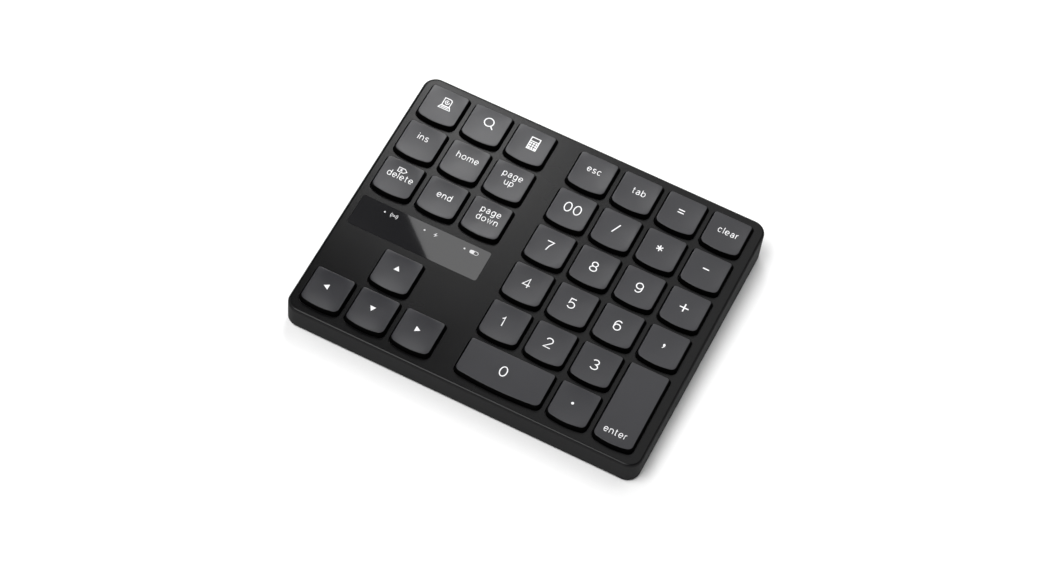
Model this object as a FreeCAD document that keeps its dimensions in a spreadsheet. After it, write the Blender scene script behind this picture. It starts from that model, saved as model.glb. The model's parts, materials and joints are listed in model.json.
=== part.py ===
import FreeCAD, Part
import math
import os
import Sketcher

# A cordless numeric keypad: a wedge-shaped case with 35 keys, an indicator window and a stowed
# USB receiver. Row frame: millimetres, +X right, +Y to the rear, +Z up, origin under the middle
# of the case on the plane that the feet stand on. Most pieces are drawn in the deck frame, whose
# XY plane is the top face of the deck. It is tilted about X, so the rear stands higher.

DIMENSIONS = {
    # how far one feature runs into the next, and how far a cut runs past what it cuts
    "join_depth": 0.2,
    "cut_past": 1.0,
    # case
    "case_width": 147.0,
    "case_depth": 120.3,
    "case_corner": 5.5,
    "case_top_round": 1.2,
    "case_wall": 1.8,
    "deck_thick": 1.5,
    "front_drop": 10.6,
    "rear_drop": 16.3,
    "floor_thick": 1.4,
    "foot_proud": 0.8,
    "foot_sunk": 0.4,
    "foot_play": 0.05,
    "foot_radius": 4.5,
    "foot_inset": 11.0,
    # key layout: distances between key centres, and the rear left key of each block
    "key_pitch": 19.0,
    "left_block": -61.41,
    "right_block": 3.53,
    "rear_row": 47.43,
    # keycap
    "cap_width": 16.8,
    "cap_depth": 17.1,
    "cap_taper": 1.0,
    "cap_front_bow": 1.1,
    "cap_rear_round": 1.2,
    "cap_front_round": 2.3,
    "cap_proud": 2.2,
    "cap_skirt": 0.5,
    "cap_roof": 1.1,
    "cap_wall": 0.9,
    "cap_hollow_round": 1.0,
    "cap_edge": 0.25,
    "dish_sink": 0.25,
    "dish_reach": 7.2,
    "key_gap": 0.35,
    # plunger and its guide sleeve, heights measured down from the deck
    "stem_radius": 2.5,
    "stem_end": 4.9,
    "stem_play": 0.15,
    "hook_reach": 2.9,
    "hook_wide": 2.0,
    "hook_thick": 0.45,
    "sleeve_radius": 4.0,
    "sleeve_top": 1.0,
    "sleeve_end": 4.4,
    "frame_top": 2.6,
    "frame_thick": 1.0,
    "plate_play": 0.4,
    # rubber domes, membranes and backplate
    "dome_top": 4.95,
    "dome_shoulder": 5.8,
    "dome_waist": 6.9,
    "dome_top_radius": 2.6,
    "dome_waist_radius": 3.6,
    "dome_root_radius": 4.5,
    "dome_skin": 0.5,
    "dome_crown": 0.8,
    "sheet_top": 7.7,
    "sheet_thick": 0.5,
    "film_thick": 0.12,
    "contact_radius": 2.0,
    "steel_thick": 0.4,
    # fasteners
    "boss_radius": 1.5,
    "post_radius": 1.6,
    "post_play": 0.3,
    "frame_screw": 0.7,
    "frame_screw_head": 1.3,
    "frame_screw_cap": 0.9,
    "frame_screw_tip": 0.8,
    "case_post_radius": 2.0,
    "case_post_end": 9.3,
    "case_screw": 0.9,
    "case_screw_head": 1.8,
    "case_screw_cap": 0.8,
    "case_screw_tip": 5.0,
    "case_boss_radius": 3.2,
    "case_well_radius": 2.1,
    "case_seat": 0.9,
    "screw_play": 0.1,
    "sheet_play": 0.2,
    # indicator window and the board behind it
    "window_x": -42.3,
    "window_y": -9.25,
    "window_width": 55.0,
    "window_depth": 14.0,
    "window_round": 1.0,
    "window_thick": 1.0,
    "window_ledge": 1.2,
    "window_play": 0.1,
    "board_thick": 0.8,
    "main_board_width": 53.6,
    "main_board_depth": 15.2,
    "light_margin": 6.0,
    "light_depth": 10.2,
    "stake_radius": 0.8,
    "stake_inset": 2.5,
    "stake_proud": 0.2,
    "lamp_size": 1.6,
    "lamp_tall": 0.5,
    "lamp_row": 3.95,
    "lamp_left": -16.9,
    "lamp_pitch": 17.1,
    "chip_size": 5.0,
    "chip_tall": 0.9,
    "chip_pitch": 10.0,
    "crystal_width": 3.2,
    "crystal_depth": 2.5,
    "crystal_tall": 0.7,
    "radio_width": 4.0,
    "radio_depth": 3.0,
    "radio_tall": 0.8,
    # flat cable between the boards
    "flex_x": -9.9,
    "flex_width": 4.0,
    "flex_thick": 0.2,
    "flex_front": -11.0,
    "flex_rear": 50.0,
    "flex_run": 9.2,
    "flex_tail": 3.4,
    "flex_tab": 3.0,
    "flex_slot_width": 5.0,
    "flex_slot_depth": 2.4,
    # receiver and its garage in the left side of the case
    "garage_y": -27.5,
    "garage_wide": 15.2,
    "garage_tall": 5.5,
    "garage_deep": 20.6,
    "garage_wall": 0.8,
    "garage_floor": 0.45,
    "garage_round": 0.8,
    "garage_drop": 0.1,
    "garage_play": 0.2,
    "receiver_sunk": 0.1,
    "receiver_round": 0.7,
    "groove_pitch": 1.3,
    "groove_width": 0.4,
    "groove_inset": 1.5,
    "groove_deep": 0.2,
    "receiver_cap_length": 7.0,
    "receiver_cap_wide": 14.8,
    "receiver_cap_tall": 5.1,
    "plug_width": 12.0,
    "plug_length": 12.8,
    "plug_tall": 4.5,
    "plug_sheet": 0.3,
    "plug_round": 0.5,
    "plug_recess": 0.5,
    "plug_window": 2.5,
    "plug_window_x": 2.25,
    "plug_window_y": 5.2,
    "plug_tongue": 1.84,
    # rear board, charging port, power switch and cell
    "rear_board_lift": 0.6,
    "rear_board_width": 46.0,
    "rear_board_depth": 9.6,
    "rear_board_x": -12.0,
    "rear_board_y": 52.9,
    "rest_width": 3.0,
    "rest_depth": 7.0,
    "rest_inset": 2.0,
    "port_x": 0.0,
    "port_width": 8.94,
    "port_tall": 3.26,
    "port_length": 7.35,
    "port_flat": 0.4,
    "port_back": 1.0,
    "port_shell": 0.3,
    "port_sunk": 1.0,
    "port_tongue_width": 6.69,
    "port_tongue_thick": 0.7,
    "port_gap": 0.25,
    "switch_x": -26.0,
    "switch_width": 8.6,
    "switch_length": 3.4,
    "switch_tall": 3.2,
    "switch_knob": 3.0,
    "switch_knob_tall": 1.5,
    "switch_travel": 2.0,
    "switch_play": 0.2,
    "switch_gap": 0.3,
    "switch_bite": 1.2,
    "switch_sunk": 0.2,
    "slot_round": 0.2,
    "switch_recess": 0.9,
    "switch_recess_margin": 1.2,
    "switch_recess_round": 0.8,
    "cell_x": 28.0,
    "cell_y": 36.0,
    "cell_width": 30.0,
    "cell_depth": 20.0,
    "cell_thick": 3.8,
    "cell_rib": 1.0,
    "cell_rib_round": 1.2,
    "cell_play": 0.3,
    "cell_corner": 1.5,
    "cell_round": 0.6,
    # stabiliser wires of the two long keys
    "wire_radius": 0.35,
    "wire_arm": 8.0,
    "wire_lean": 7.2,
    "wire_half": 12.0,
    "wire_hook": 1.6,
    "wire_end": 2.4,
    "wire_play": 0.05,
    "wire_height": 1.5,
    "wire_offset": 5.6,
    "clip_width": 2.0,
    "clip_top": 1.0,
    "clip_inset": 4.0,
    "lug_width": 1.2,
    "lug_depth": 2.4,
    "lug_end": 1.15,
    "lug_hole": 0.45,
    "lug_window": 5.0,
}

doc = FreeCAD.newDocument("NumericKeypad")
sheet = doc.addObject("Spreadsheet::Sheet", "dims")
for line, (alias, number) in enumerate(DIMENSIONS.items(), 1):
    sheet.set(f"A{line}", alias)
    sheet.set(f"B{line}", str(number))
    sheet.setAlias(f"B{line}", alias)
doc.recompute()

SUBPARTS = []

SLOPE = "((dims.rear_drop - dims.front_drop) / dims.case_depth)"
TILT = f"atan({SLOPE})"
MIDDLE_DROP = "(dims.front_drop + dims.rear_drop) / 2"
DECK_Y = f"(0 - dims.rear_drop * sin({TILT}) / 2)"
DECK_Z = f"(dims.foot_proud + {MIDDLE_DROP} * cos({TILT}))"
FLOOR_Y = f"({DECK_Y} + {MIDDLE_DROP} * sin({TILT}))"

FRAME_BOTTOM = "(dims.frame_top + dims.frame_thick)"
SHEET_BOTTOM = "(dims.sheet_top + dims.sheet_thick)"
SPACER_TOP = f"({SHEET_BOTTOM} + dims.film_thick)"
STEEL_TOP = f"({SHEET_BOTTOM} + 3 * dims.film_thick)"
STEEL_BOTTOM = f"({STEEL_TOP} + dims.steel_thick)"

INNER_WIDTH = "(dims.case_width - 2 * dims.case_wall)"
INNER_DEPTH = "(dims.case_depth - 2 * dims.case_wall)"
INNER_ROUND = "(dims.case_corner - dims.case_wall)"
PLATE_WIDTH = f"({INNER_WIDTH} - 2 * dims.plate_play)"
PLATE_DEPTH = f"({INNER_DEPTH} - 2 * dims.plate_play)"
PLATE_ROUND = f"({INNER_ROUND} - dims.plate_play)"

CAP_ROOT = "(dims.cap_proud - dims.cap_roof + dims.join_depth)"
GARAGE_TOP = "(dims.deck_thick + dims.garage_drop)"
GARAGE_MIDDLE = f"({GARAGE_TOP} + dims.garage_tall / 2)"
WIRE_TIP = "(dims.wire_offset - dims.wire_arm * cos(dims.wire_lean * 1 deg))"
LUG_REACH = "(dims.wire_half - dims.wire_hook)"


def value(expression):
    """The number that an expression has now."""
    result = sheet.evalExpression(str(expression))
    return float(getattr(result, "Value", result))


def column(block, number):
    """X of a column of keys, counted from the left of its block."""
    return f"(dims.{block} + {number} * dims.key_pitch)"


def row(number):
    """Y of a row of keys, counted from the rear."""
    return f"(dims.rear_row - {number} * dims.key_pitch)"


# ---------------------------------------------------------------- placing and naming


def subpart(piece, label):
    """Names a finished piece, which is then written to a file of that name."""
    piece.Label = label
    SUBPARTS.append(piece)
    return piece


def place_in_row(piece, x="0", y="0", z="0"):
    """Puts a piece at a point of the row frame."""
    piece.setExpression("Placement.Base.x", x)
    piece.setExpression("Placement.Base.y", y)
    piece.setExpression("Placement.Base.z", z)


def place_on_deck(piece, x="0", y="0", z="0", lean="0"):
    """Puts a piece at a point of the deck frame, leaning about X by a further angle."""
    piece.Placement = FreeCAD.Placement(FreeCAD.Vector(), FreeCAD.Rotation(FreeCAD.Vector(1, 0, 0), 1))
    piece.setExpression("Placement.Base.x", x)
    piece.setExpression("Placement.Base.y", f"{DECK_Y} + ({y}) * cos({TILT}) - ({z}) * sin({TILT})")
    piece.setExpression("Placement.Base.z", f"{DECK_Z} + ({y}) * sin({TILT}) + ({z}) * cos({TILT})")
    piece.setExpression("Placement.Rotation.Angle", f"{TILT} + ({lean}) * 1 deg")


# ---------------------------------------------------------------- bodies and sketches


def new_body(label):
    return subpart(doc.addObject("PartDesign::Body", label), label)


def sketch_on(body, role, x="0", y="0", z="0"):
    """A sketch on one of the body's own origin planes, shifted within and off that plane."""
    plane = next(item for item in body.Origin.OriginFeatures if item.Role == role)
    sketch = body.newObject("Sketcher::SketchObject", f"{body.Name}_sketch")
    sketch.AttachmentSupport = [(plane, "")]
    sketch.MapMode = "FlatFace"
    sketch.setExpression("AttachmentOffset.Base.x", x)
    sketch.setExpression("AttachmentOffset.Base.y", y)
    sketch.setExpression("AttachmentOffset.Base.z", z)
    return sketch


def floor_sketch(body, x="0", y="0", lift="0"):
    """A sketch parallel to the case's floor in a body that is drawn in the deck frame."""
    sketch = sketch_on(body, "XY_Plane")
    about_x = FreeCAD.Rotation(FreeCAD.Vector(1, 0, 0), -1)
    sketch.AttachmentOffset = FreeCAD.Placement(FreeCAD.Vector(), about_x)
    sketch.setExpression("AttachmentOffset.Base.x", x)
    sketch.setExpression("AttachmentOffset.Base.y", f"({y}) * cos({TILT}) + ({lift}) * sin({TILT})")
    sketch.setExpression(
        "AttachmentOffset.Base.z",
        f"({lift}) * cos({TILT}) - ({y}) * sin({TILT}) - {MIDDLE_DROP}",
    )
    sketch.setExpression("AttachmentOffset.Rotation.Angle", f"0 deg - {TILT}")
    return sketch


def bound(sketch, constraint, name, expression):
    """Adds a dimension to a sketch and binds it to the sheet."""
    index = sketch.addConstraint(constraint)
    sketch.renameConstraint(index, name)
    sketch.setExpression(f"Constraints.{name}", expression)


def line_between(sketch, start, end):
    return sketch.addGeometry(Part.LineSegment(FreeCAD.Vector(*start, 0), FreeCAD.Vector(*end, 0)))


def arc_about(sketch, centre, radius, start, end):
    circle = Part.Circle(FreeCAD.Vector(*centre, 0), FreeCAD.Vector(0, 0, 1), radius)
    return sketch.addGeometry(Part.ArcOfCircle(circle, math.radians(start), math.radians(end)))


def rounded_rectangle(sketch, width, depth, corner):
    """A rectangle with rounded corners, centred on the sketch's origin."""
    half_x = value(width) / 2
    half_y = value(depth) / 2
    turn = value(corner)
    line_between(sketch, (half_x - turn, half_y), (turn - half_x, half_y))
    line_between(sketch, (-half_x, half_y - turn), (-half_x, turn - half_y))
    line_between(sketch, (turn - half_x, -half_y), (half_x - turn, -half_y))
    line_between(sketch, (half_x, turn - half_y), (half_x, half_y - turn))
    arc_about(sketch, (turn - half_x, half_y - turn), turn, 90, 180)
    arc_about(sketch, (turn - half_x, turn - half_y), turn, 180, 270)
    arc_about(sketch, (half_x - turn, turn - half_y), turn, 270, 360)
    arc_about(sketch, (half_x - turn, half_y - turn), turn, 0, 90)
    for side in range(4):
        sketch.addConstraint(Sketcher.Constraint("Tangent", side, 2, 4 + side, 1))
        sketch.addConstraint(Sketcher.Constraint("Tangent", 4 + side, 2, (side + 1) % 4, 1))
        sketch.addConstraint(Sketcher.Constraint("Vertical" if side % 2 else "Horizontal", side))
    for other in (5, 6, 7):
        sketch.addConstraint(Sketcher.Constraint("Equal", 4, other))
    sketch.addConstraint(Sketcher.Constraint("Symmetric", 4, 3, 6, 3, -1, 1))
    bound(sketch, Sketcher.Constraint("DistanceX", 1, 1, 3, 2, 2 * half_x), "width", width)
    bound(sketch, Sketcher.Constraint("DistanceY", 2, 1, 0, 2, 2 * half_y), "depth", depth)
    bound(sketch, Sketcher.Constraint("Radius", 4, turn), "corner", corner)


def rectangle(sketch, width, depth):
    """A sharp-cornered rectangle, centred on the sketch's origin."""
    half_x = value(width) / 2
    half_y = value(depth) / 2
    corners = [(half_x, half_y), (-half_x, half_y), (-half_x, -half_y), (half_x, -half_y)]
    for side in range(4):
        line_between(sketch, corners[side], corners[(side + 1) % 4])
    for side in range(4):
        sketch.addConstraint(Sketcher.Constraint("Coincident", side, 2, (side + 1) % 4, 1))
        sketch.addConstraint(Sketcher.Constraint("Vertical" if side % 2 else "Horizontal", side))
    sketch.addConstraint(Sketcher.Constraint("Symmetric", 0, 1, 2, 1, -1, 1))
    bound(sketch, Sketcher.Constraint("DistanceX", 1, 1, 3, 2, 2 * half_x), "width", width)
    bound(sketch, Sketcher.Constraint("DistanceY", 2, 1, 0, 2, 2 * half_y), "depth", depth)


def circles(sketch, radius, centres):
    """Equal circles at the given places of a sketch."""
    for number, (x, y) in enumerate(centres):
        here = FreeCAD.Vector(value(x), value(y), 0)
        sketch.addGeometry(Part.Circle(here, FreeCAD.Vector(0, 0, 1), value(radius)))
        bound(sketch, Sketcher.Constraint("DistanceX", -1, 1, number, 3, here.x), f"x{number}", x)
        bound(sketch, Sketcher.Constraint("DistanceY", -1, 1, number, 3, here.y), f"y{number}", y)
        if number:
            sketch.addConstraint(Sketcher.Constraint("Equal", 0, number))
    bound(sketch, Sketcher.Constraint("Radius", 0, value(radius)), "radius", radius)


def closed_profile(sketch, points):
    """A closed outline of straight lines, each corner bound to its own two expressions."""
    count = len(points)
    places = [(value(x), value(y)) for x, y in points]
    for side in range(count):
        line_between(sketch, places[side], places[(side + 1) % count])
    for side in range(count):
        sketch.addConstraint(Sketcher.Constraint("Coincident", side, 2, (side + 1) % count, 1))
    for side, (x, y) in enumerate(points):
        bound(sketch, Sketcher.Constraint("DistanceX", -1, 1, side, 1, places[side][0]), f"x{side}", x)
        bound(sketch, Sketcher.Constraint("DistanceY", -1, 1, side, 1, places[side][1]), f"y{side}", y)


def key_outline(sketch, width, depth, rear_round, front_round):
    """A key's outline: straight sides and rear edge, and a front edge that bows outwards."""
    half_x = value(width) / 2
    half_y = value(depth) / 2
    rear = value(rear_round)
    front = value(front_round)
    bow = value("dims.cap_front_bow")
    bow_radius = half_x**2 / (2 * bow) + bow / 2
    bow_y = bow_radius - half_y
    corner_y = bow_y - math.sqrt((bow_radius - front) ** 2 - (half_x - front) ** 2)
    spread = math.degrees(math.atan2(half_x - front, bow_y - corner_y))
    line_between(sketch, (half_x - rear, half_y), (rear - half_x, half_y))
    line_between(sketch, (-half_x, half_y - rear), (-half_x, corner_y))
    arc_about(sketch, (0, bow_y), bow_radius, 270 - spread, 270 + spread)
    line_between(sketch, (half_x, corner_y), (half_x, half_y - rear))
    arc_about(sketch, (rear - half_x, half_y - rear), rear, 90, 180)
    arc_about(sketch, (front - half_x, corner_y), front, 180, 270 - spread)
    arc_about(sketch, (half_x - front, corner_y), front, 270 + spread, 360)
    arc_about(sketch, (half_x - rear, half_y - rear), rear, 0, 90)
    for side in range(4):
        sketch.addConstraint(Sketcher.Constraint("Tangent", side, 2, 4 + side, 1))
        sketch.addConstraint(Sketcher.Constraint("Tangent", 4 + side, 2, (side + 1) % 4, 1))
    sketch.addConstraint(Sketcher.Constraint("Horizontal", 0))
    sketch.addConstraint(Sketcher.Constraint("Vertical", 1))
    sketch.addConstraint(Sketcher.Constraint("Vertical", 3))
    sketch.addConstraint(Sketcher.Constraint("Equal", 4, 7))
    sketch.addConstraint(Sketcher.Constraint("Equal", 5, 6))
    sketch.addConstraint(Sketcher.Constraint("PointOnObject", 2, 3, -2))
    bow_rule = f"(({width}) ^ 2 / (8 * dims.cap_front_bow) + dims.cap_front_bow / 2)"
    bow_place = f"{bow_rule} - ({depth}) / 2"
    bound(sketch, Sketcher.Constraint("DistanceX", 1, 1, 3, 2, 2 * half_x), "width", width)
    bound(sketch, Sketcher.Constraint("DistanceY", -1, 1, 0, 1, half_y), "rear", f"({depth}) / 2")
    bound(sketch, Sketcher.Constraint("Radius", 4, rear), "rear_round", rear_round)
    bound(sketch, Sketcher.Constraint("Radius", 5, front), "front_round", front_round)
    bound(sketch, Sketcher.Constraint("Radius", 2, bow_radius), "bow", bow_rule)
    bound(sketch, Sketcher.Constraint("DistanceY", -1, 1, 2, 3, bow_y), "bow_y", bow_place)


# ---------------------------------------------------------------- features


def pad(body, sketch, length, down=False):
    """Adds material from a sketch, up or down its normal."""
    feature = body.newObject("PartDesign::Pad", f"{body.Name}_pad")
    feature.Profile = sketch
    feature.setExpression("Length", length)
    feature.Reversed = down
    feature.Refine = False
    return feature


def pad_across(body, sketch, length):
    """Adds material to both sides of a sketch alike."""
    feature = pad(body, sketch, length)
    feature.Midplane = True
    return feature


def pocket(body, sketch, length, up=False):
    """Removes material below a sketch, or above it."""
    feature = body.newObject("PartDesign::Pocket", f"{body.Name}_pocket")
    feature.Profile = sketch
    feature.setExpression("Length", length)
    feature.Reversed = up
    feature.Refine = False
    return feature


def pocket_across(body, sketch, length):
    """Removes material on both sides of a sketch alike."""
    pocket(body, sketch, length).Midplane = True


def turned(body, sketch, kind):
    """Revolves a sketch about its own vertical axis: kind is Revolution or Groove."""
    feature = body.newObject(f"PartDesign::{kind}", f"{body.Name}_{kind.lower()}")
    feature.Profile = sketch
    feature.ReferenceAxis = (sketch, ["V_Axis"])
    feature.Angle = 360


def repeat_on_grid(body, features, columns, rows):
    """Repeats features to the right and to the front, one key pitch apart."""
    if columns * rows == 1:
        return
    grid = body.newObject("PartDesign::MultiTransform", f"{body.Name}_grid")
    grid.Originals = features
    grid.Refine = False
    steps = []
    for count, role, backwards in ((columns, "X_Axis", False), (rows, "Y_Axis", True)):
        if count == 1:
            continue
        step = body.newObject("PartDesign::LinearPattern", f"{body.Name}_step")
        axis = next(item for item in body.Origin.OriginFeatures if item.Role == role)
        step.Direction = (axis, [""])
        step.Reversed = backwards
        step.Occurrences = count
        step.setExpression("Length", f"{count - 1} * dims.key_pitch")
        steps.append(step)
    grid.Transformations = steps
    body.Tip = grid


def edges_at_height(feature, height):
    """Names of the edges that lie wholly at one height of the body's own frame."""
    doc.recompute([feature])
    return [
        f"Edge{number}"
        for number, edge in enumerate(feature.Shape.Edges, 1)
        if abs(edge.BoundBox.ZMin - height) < 1e-4 and abs(edge.BoundBox.ZMax - height) < 1e-4
    ]


def round_edges(body, feature, names, radius):
    rounding = body.newObject("PartDesign::Fillet", f"{body.Name}_round")
    rounding.Base = (feature, names)
    rounding.setExpression("Radius", radius)


def trim_below_floor(body):
    """Cuts away everything under the case's slanting floor plane."""
    reach = "(dims.case_depth / 2 + dims.cut_past)"
    sketch = sketch_on(body, "YZ_Plane")
    closed_profile(
        sketch,
        [
            (f"0 - {reach}", f"{reach} * {SLOPE} - {MIDDLE_DROP}"),
            (f"0 - {reach}", "0 - 2 * dims.rear_drop"),
            (reach, "0 - 2 * dims.rear_drop"),
            (reach, f"0 - {reach} * {SLOPE} - {MIDDLE_DROP}"),
        ],
    )
    pocket_across(body, sketch, "dims.case_width + 2 * dims.cut_past")


# ---------------------------------------------------------------- Part primitives


def at(piece, x, y, z):
    piece.setExpression("Placement.Base.x", x)
    piece.setExpression("Placement.Base.y", y)
    piece.setExpression("Placement.Base.z", z)
    return piece


def box(width, depth, tall, x, y, z):
    """A box centred on x and y, standing on z."""
    block = doc.addObject("Part::Box", "block")
    block.setExpression("Length", width)
    block.setExpression("Width", depth)
    block.setExpression("Height", tall)
    return at(block, f"({x}) - ({width}) / 2", f"({y}) - ({depth}) / 2", z)


def cylinder(radius, tall, x, y, z):
    """An upright cylinder standing on z."""
    rod = doc.addObject("Part::Cylinder", "rod")
    rod.setExpression("Radius", radius)
    rod.setExpression("Height", tall)
    return at(rod, x, y, z)


def lying_cylinder(radius, length, x, y, z, axis):
    """A cylinder that starts at x, y, z and runs along +X or +Y."""
    rod = doc.addObject("Part::Cylinder", "rod")
    turn = FreeCAD.Rotation(FreeCAD.Vector(0, 0, 1), FreeCAD.Vector(*axis))
    rod.Placement = FreeCAD.Placement(FreeCAD.Vector(), turn)
    rod.setExpression("Radius", radius)
    rod.setExpression("Height", length)
    return at(rod, x, y, z)


def ball(radius, x, y, z):
    sphere = doc.addObject("Part::Sphere", "ball")
    sphere.setExpression("Radius", radius)
    return at(sphere, x, y, z)


def joined(pieces, label):
    """One node of several solids; those that overlap become one."""
    union = doc.addObject("Part::MultiFuse", label)
    union.Shapes = pieces
    return subpart(union, label)


def cut(base, tools, label):
    """A solid less one or more others, as a sub-part."""
    tool = tools[0]
    if len(tools) > 1:
        tool = doc.addObject("Part::MultiFuse", f"{label}_tools")
        tool.Shapes = tools
    remainder = doc.addObject("Part::Cut", label)
    remainder.Base = base
    remainder.Tool = tool
    return subpart(remainder, label)


# ---------------------------------------------------------------- key layout

# Each group of plain keys: block, first column, first row, columns, rows.
GRIDS = [
    ("left_block", 0, 0, 3, 3),
    ("left_block", 1, 4, 1, 1),
    ("left_block", 0, 5, 3, 1),
    ("right_block", 0, 0, 4, 4),
    ("right_block", 0, 4, 3, 1),
    ("right_block", 2, 5, 1, 1),
]

KEY_NAMES = {
    ("left_block", 0): ["computer", "search", "calculator"],
    ("left_block", 1): ["insert", "home", "page_up"],
    ("left_block", 2): ["delete", "end", "page_down"],
    ("left_block", 4): [None, "up"],
    ("left_block", 5): ["left", "down", "right"],
    ("right_block", 0): ["escape", "tab", "equals", "clear"],
    ("right_block", 1): ["double_zero", "divide", "multiply", "minus"],
    ("right_block", 2): ["seven", "eight", "nine", "plus"],
    ("right_block", 3): ["four", "five", "six", "comma"],
    ("right_block", 4): ["one", "two", "three"],
    ("right_block", 5): [None, None, "point"],
}

ZERO_PLACE = (column("right_block", 0.5), row(5))
ENTER_PLACE = (column("right_block", 3), row(4.5))
LONG_WIDTH = "(dims.cap_width + dims.key_pitch)"
LONG_DEPTH = "(dims.cap_depth + dims.key_pitch)"


def crossing(block, column_number, row_number):
    """The point between four keys, to the right and in front of the key that is named."""
    return column(block, column_number + 0.5), row(row_number + 0.5)


FRAME_SCREWS = [
    crossing("left_block", 0, 1),
    crossing("left_block", 1, 1),
    crossing("left_block", 0, 4),
    crossing("right_block", 0, 0),
    crossing("right_block", 1, 1),
    crossing("right_block", 2, 1),
    crossing("right_block", 0, 2),
    crossing("right_block", 2, 2),
    crossing("right_block", 0, 3),
    crossing("right_block", 1, 3),
]
CASE_SCREWS = [
    crossing("left_block", 0, 0),
    crossing("right_block", 2, 0),
    crossing("left_block", 1, 4),
    crossing("right_block", 1, 4),
]


PLAIN_PLACES = {
    name: (column(block, column_number), row(row_number))
    for (block, row_number), names in KEY_NAMES.items()
    for column_number, name in enumerate(names)
    if name
}
KEY_PLACES = [*PLAIN_PLACES.values(), ZERO_PLACE, ENTER_PLACE]


# ---------------------------------------------------------------- keycaps


def keycap(label, x, y, width="dims.cap_width", depth="dims.cap_depth", long_axis=""):
    """A keycap: a tapered cap, hollow below, with a hooked plunger stem in its middle."""
    body = new_body(label)
    levels = [
        ("0 - dims.cap_skirt", "0"),
        ("dims.cap_proud - dims.cap_edge", "dims.cap_taper"),
        ("dims.cap_proud", "(dims.cap_taper + 2 * dims.cap_edge)"),
    ]
    outlines = []
    for height, less in levels:
        outline = sketch_on(body, "XY_Plane", z=height)
        key_outline(
            outline,
            f"({width} - {less})",
            f"({depth} - {less})",
            f"(dims.cap_rear_round - {less} / 4)",
            f"(dims.cap_front_round - {less} / 4)",
        )
        outlines.append(outline)
    cap = body.newObject("PartDesign::AdditiveLoft", f"{label}_cap")
    cap.Profile = outlines[0]
    cap.Sections = outlines[1:]
    cap.Ruled = True
    if not long_axis:
        dish_top(body)
    hollow = sketch_on(body, "XY_Plane", z="0 - dims.cap_skirt")
    rounded_rectangle(
        hollow,
        f"({width} - 2 * dims.cap_wall - dims.cap_taper / 2)",
        f"({depth} - 2 * dims.cap_wall - dims.cap_front_bow)",
        "dims.cap_hollow_round",
    )
    pocket(body, hollow, "dims.cap_skirt + dims.cap_proud - dims.cap_roof", up=True)
    draw_stem(body)
    if long_axis:
        wire_lugs(body, long_axis)
    place_on_deck(body, x, y)
    return body


def dish_top(body):
    """A shallow round hollow in the top of a cap, for the fingertip."""
    sketch = sketch_on(body, "XZ_Plane")
    deep = value("dims.cap_proud - dims.dish_sink")
    rim = value("dims.cap_proud")
    reach = value("dims.dish_reach")
    sink = value("dims.dish_sink")
    bend = (reach**2 + sink**2) / (2 * sink)
    spread = math.degrees(math.asin(reach / bend))
    arc_about(sketch, (0, deep + bend), bend, 270, 270 + spread)
    line_between(sketch, (reach, rim), (0, rim))
    line_between(sketch, (0, rim), (0, deep))
    sketch.addConstraint(Sketcher.Constraint("Coincident", 0, 2, 1, 1))
    sketch.addConstraint(Sketcher.Constraint("Coincident", 1, 2, 2, 1))
    sketch.addConstraint(Sketcher.Constraint("Coincident", 2, 2, 0, 1))
    sketch.addConstraint(Sketcher.Constraint("Horizontal", 1))
    sketch.addConstraint(Sketcher.Constraint("PointOnObject", 0, 3, -2))
    sketch.addConstraint(Sketcher.Constraint("PointOnObject", 1, 2, -2))
    sketch.addConstraint(Sketcher.Constraint("PointOnObject", 2, 2, -2))
    bound(sketch, Sketcher.Constraint("DistanceX", -1, 1, 0, 2, reach), "reach", "dims.dish_reach")
    bound(sketch, Sketcher.Constraint("DistanceY", -1, 1, 1, 2, rim), "rim", "dims.cap_proud")
    bound(sketch, Sketcher.Constraint("DistanceY", 2, 2, 2, 1, sink), "sink", "dims.dish_sink")
    turned(body, sketch, "Groove")


def draw_stem(body):
    """The plunger under a cap: a round stem with a cross bar that hooks under its sleeve."""
    stem = sketch_on(body, "XY_Plane", z=CAP_ROOT)
    circles(stem, "dims.stem_radius", [("0", "0")])
    pad(body, stem, f"{CAP_ROOT} + dims.stem_end", down=True)
    hooks = sketch_on(body, "XY_Plane", z="0 - dims.stem_end")
    rectangle(hooks, "2 * dims.hook_reach", "dims.hook_wide")
    pad(body, hooks, "dims.hook_thick")


def wire_lugs(body, long_axis):
    """Two lugs under a long cap, each with a hole for one end of the stabiliser wire."""
    rise = "(dims.wire_arm * sin(dims.wire_lean * 1 deg) - dims.wire_height)"
    for side in ("", "0 - "):
        along = f"{side}{LUG_REACH}"
        if long_axis == "x":
            lug = sketch_on(body, "XY_Plane", along, WIRE_TIP, CAP_ROOT)
            rectangle(lug, "dims.lug_width", "dims.lug_depth")
            hole = sketch_on(body, "YZ_Plane", WIRE_TIP, rise, along)
        else:
            lug = sketch_on(body, "XY_Plane", f"0 - {WIRE_TIP}", along, CAP_ROOT)
            rectangle(lug, "dims.lug_depth", "dims.lug_width")
            hole = sketch_on(body, "XZ_Plane", f"0 - {WIRE_TIP}", rise, f"0 - ({along})")
        pad(body, lug, f"{CAP_ROOT} + dims.lug_end", down=True)
        circles(hole, "dims.lug_hole", [("0", "0")])
        pocket_across(body, hole, "2 * dims.lug_width")


def keycaps():
    for name, (x, y) in PLAIN_PLACES.items():
        keycap(f"key_{name}", x, y)
    keycap("key_zero", *ZERO_PLACE, width=LONG_WIDTH, long_axis="x")
    keycap("key_enter", *ENTER_PLACE, depth=LONG_DEPTH, long_axis="y")


# ---------------------------------------------------------------- case


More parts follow.
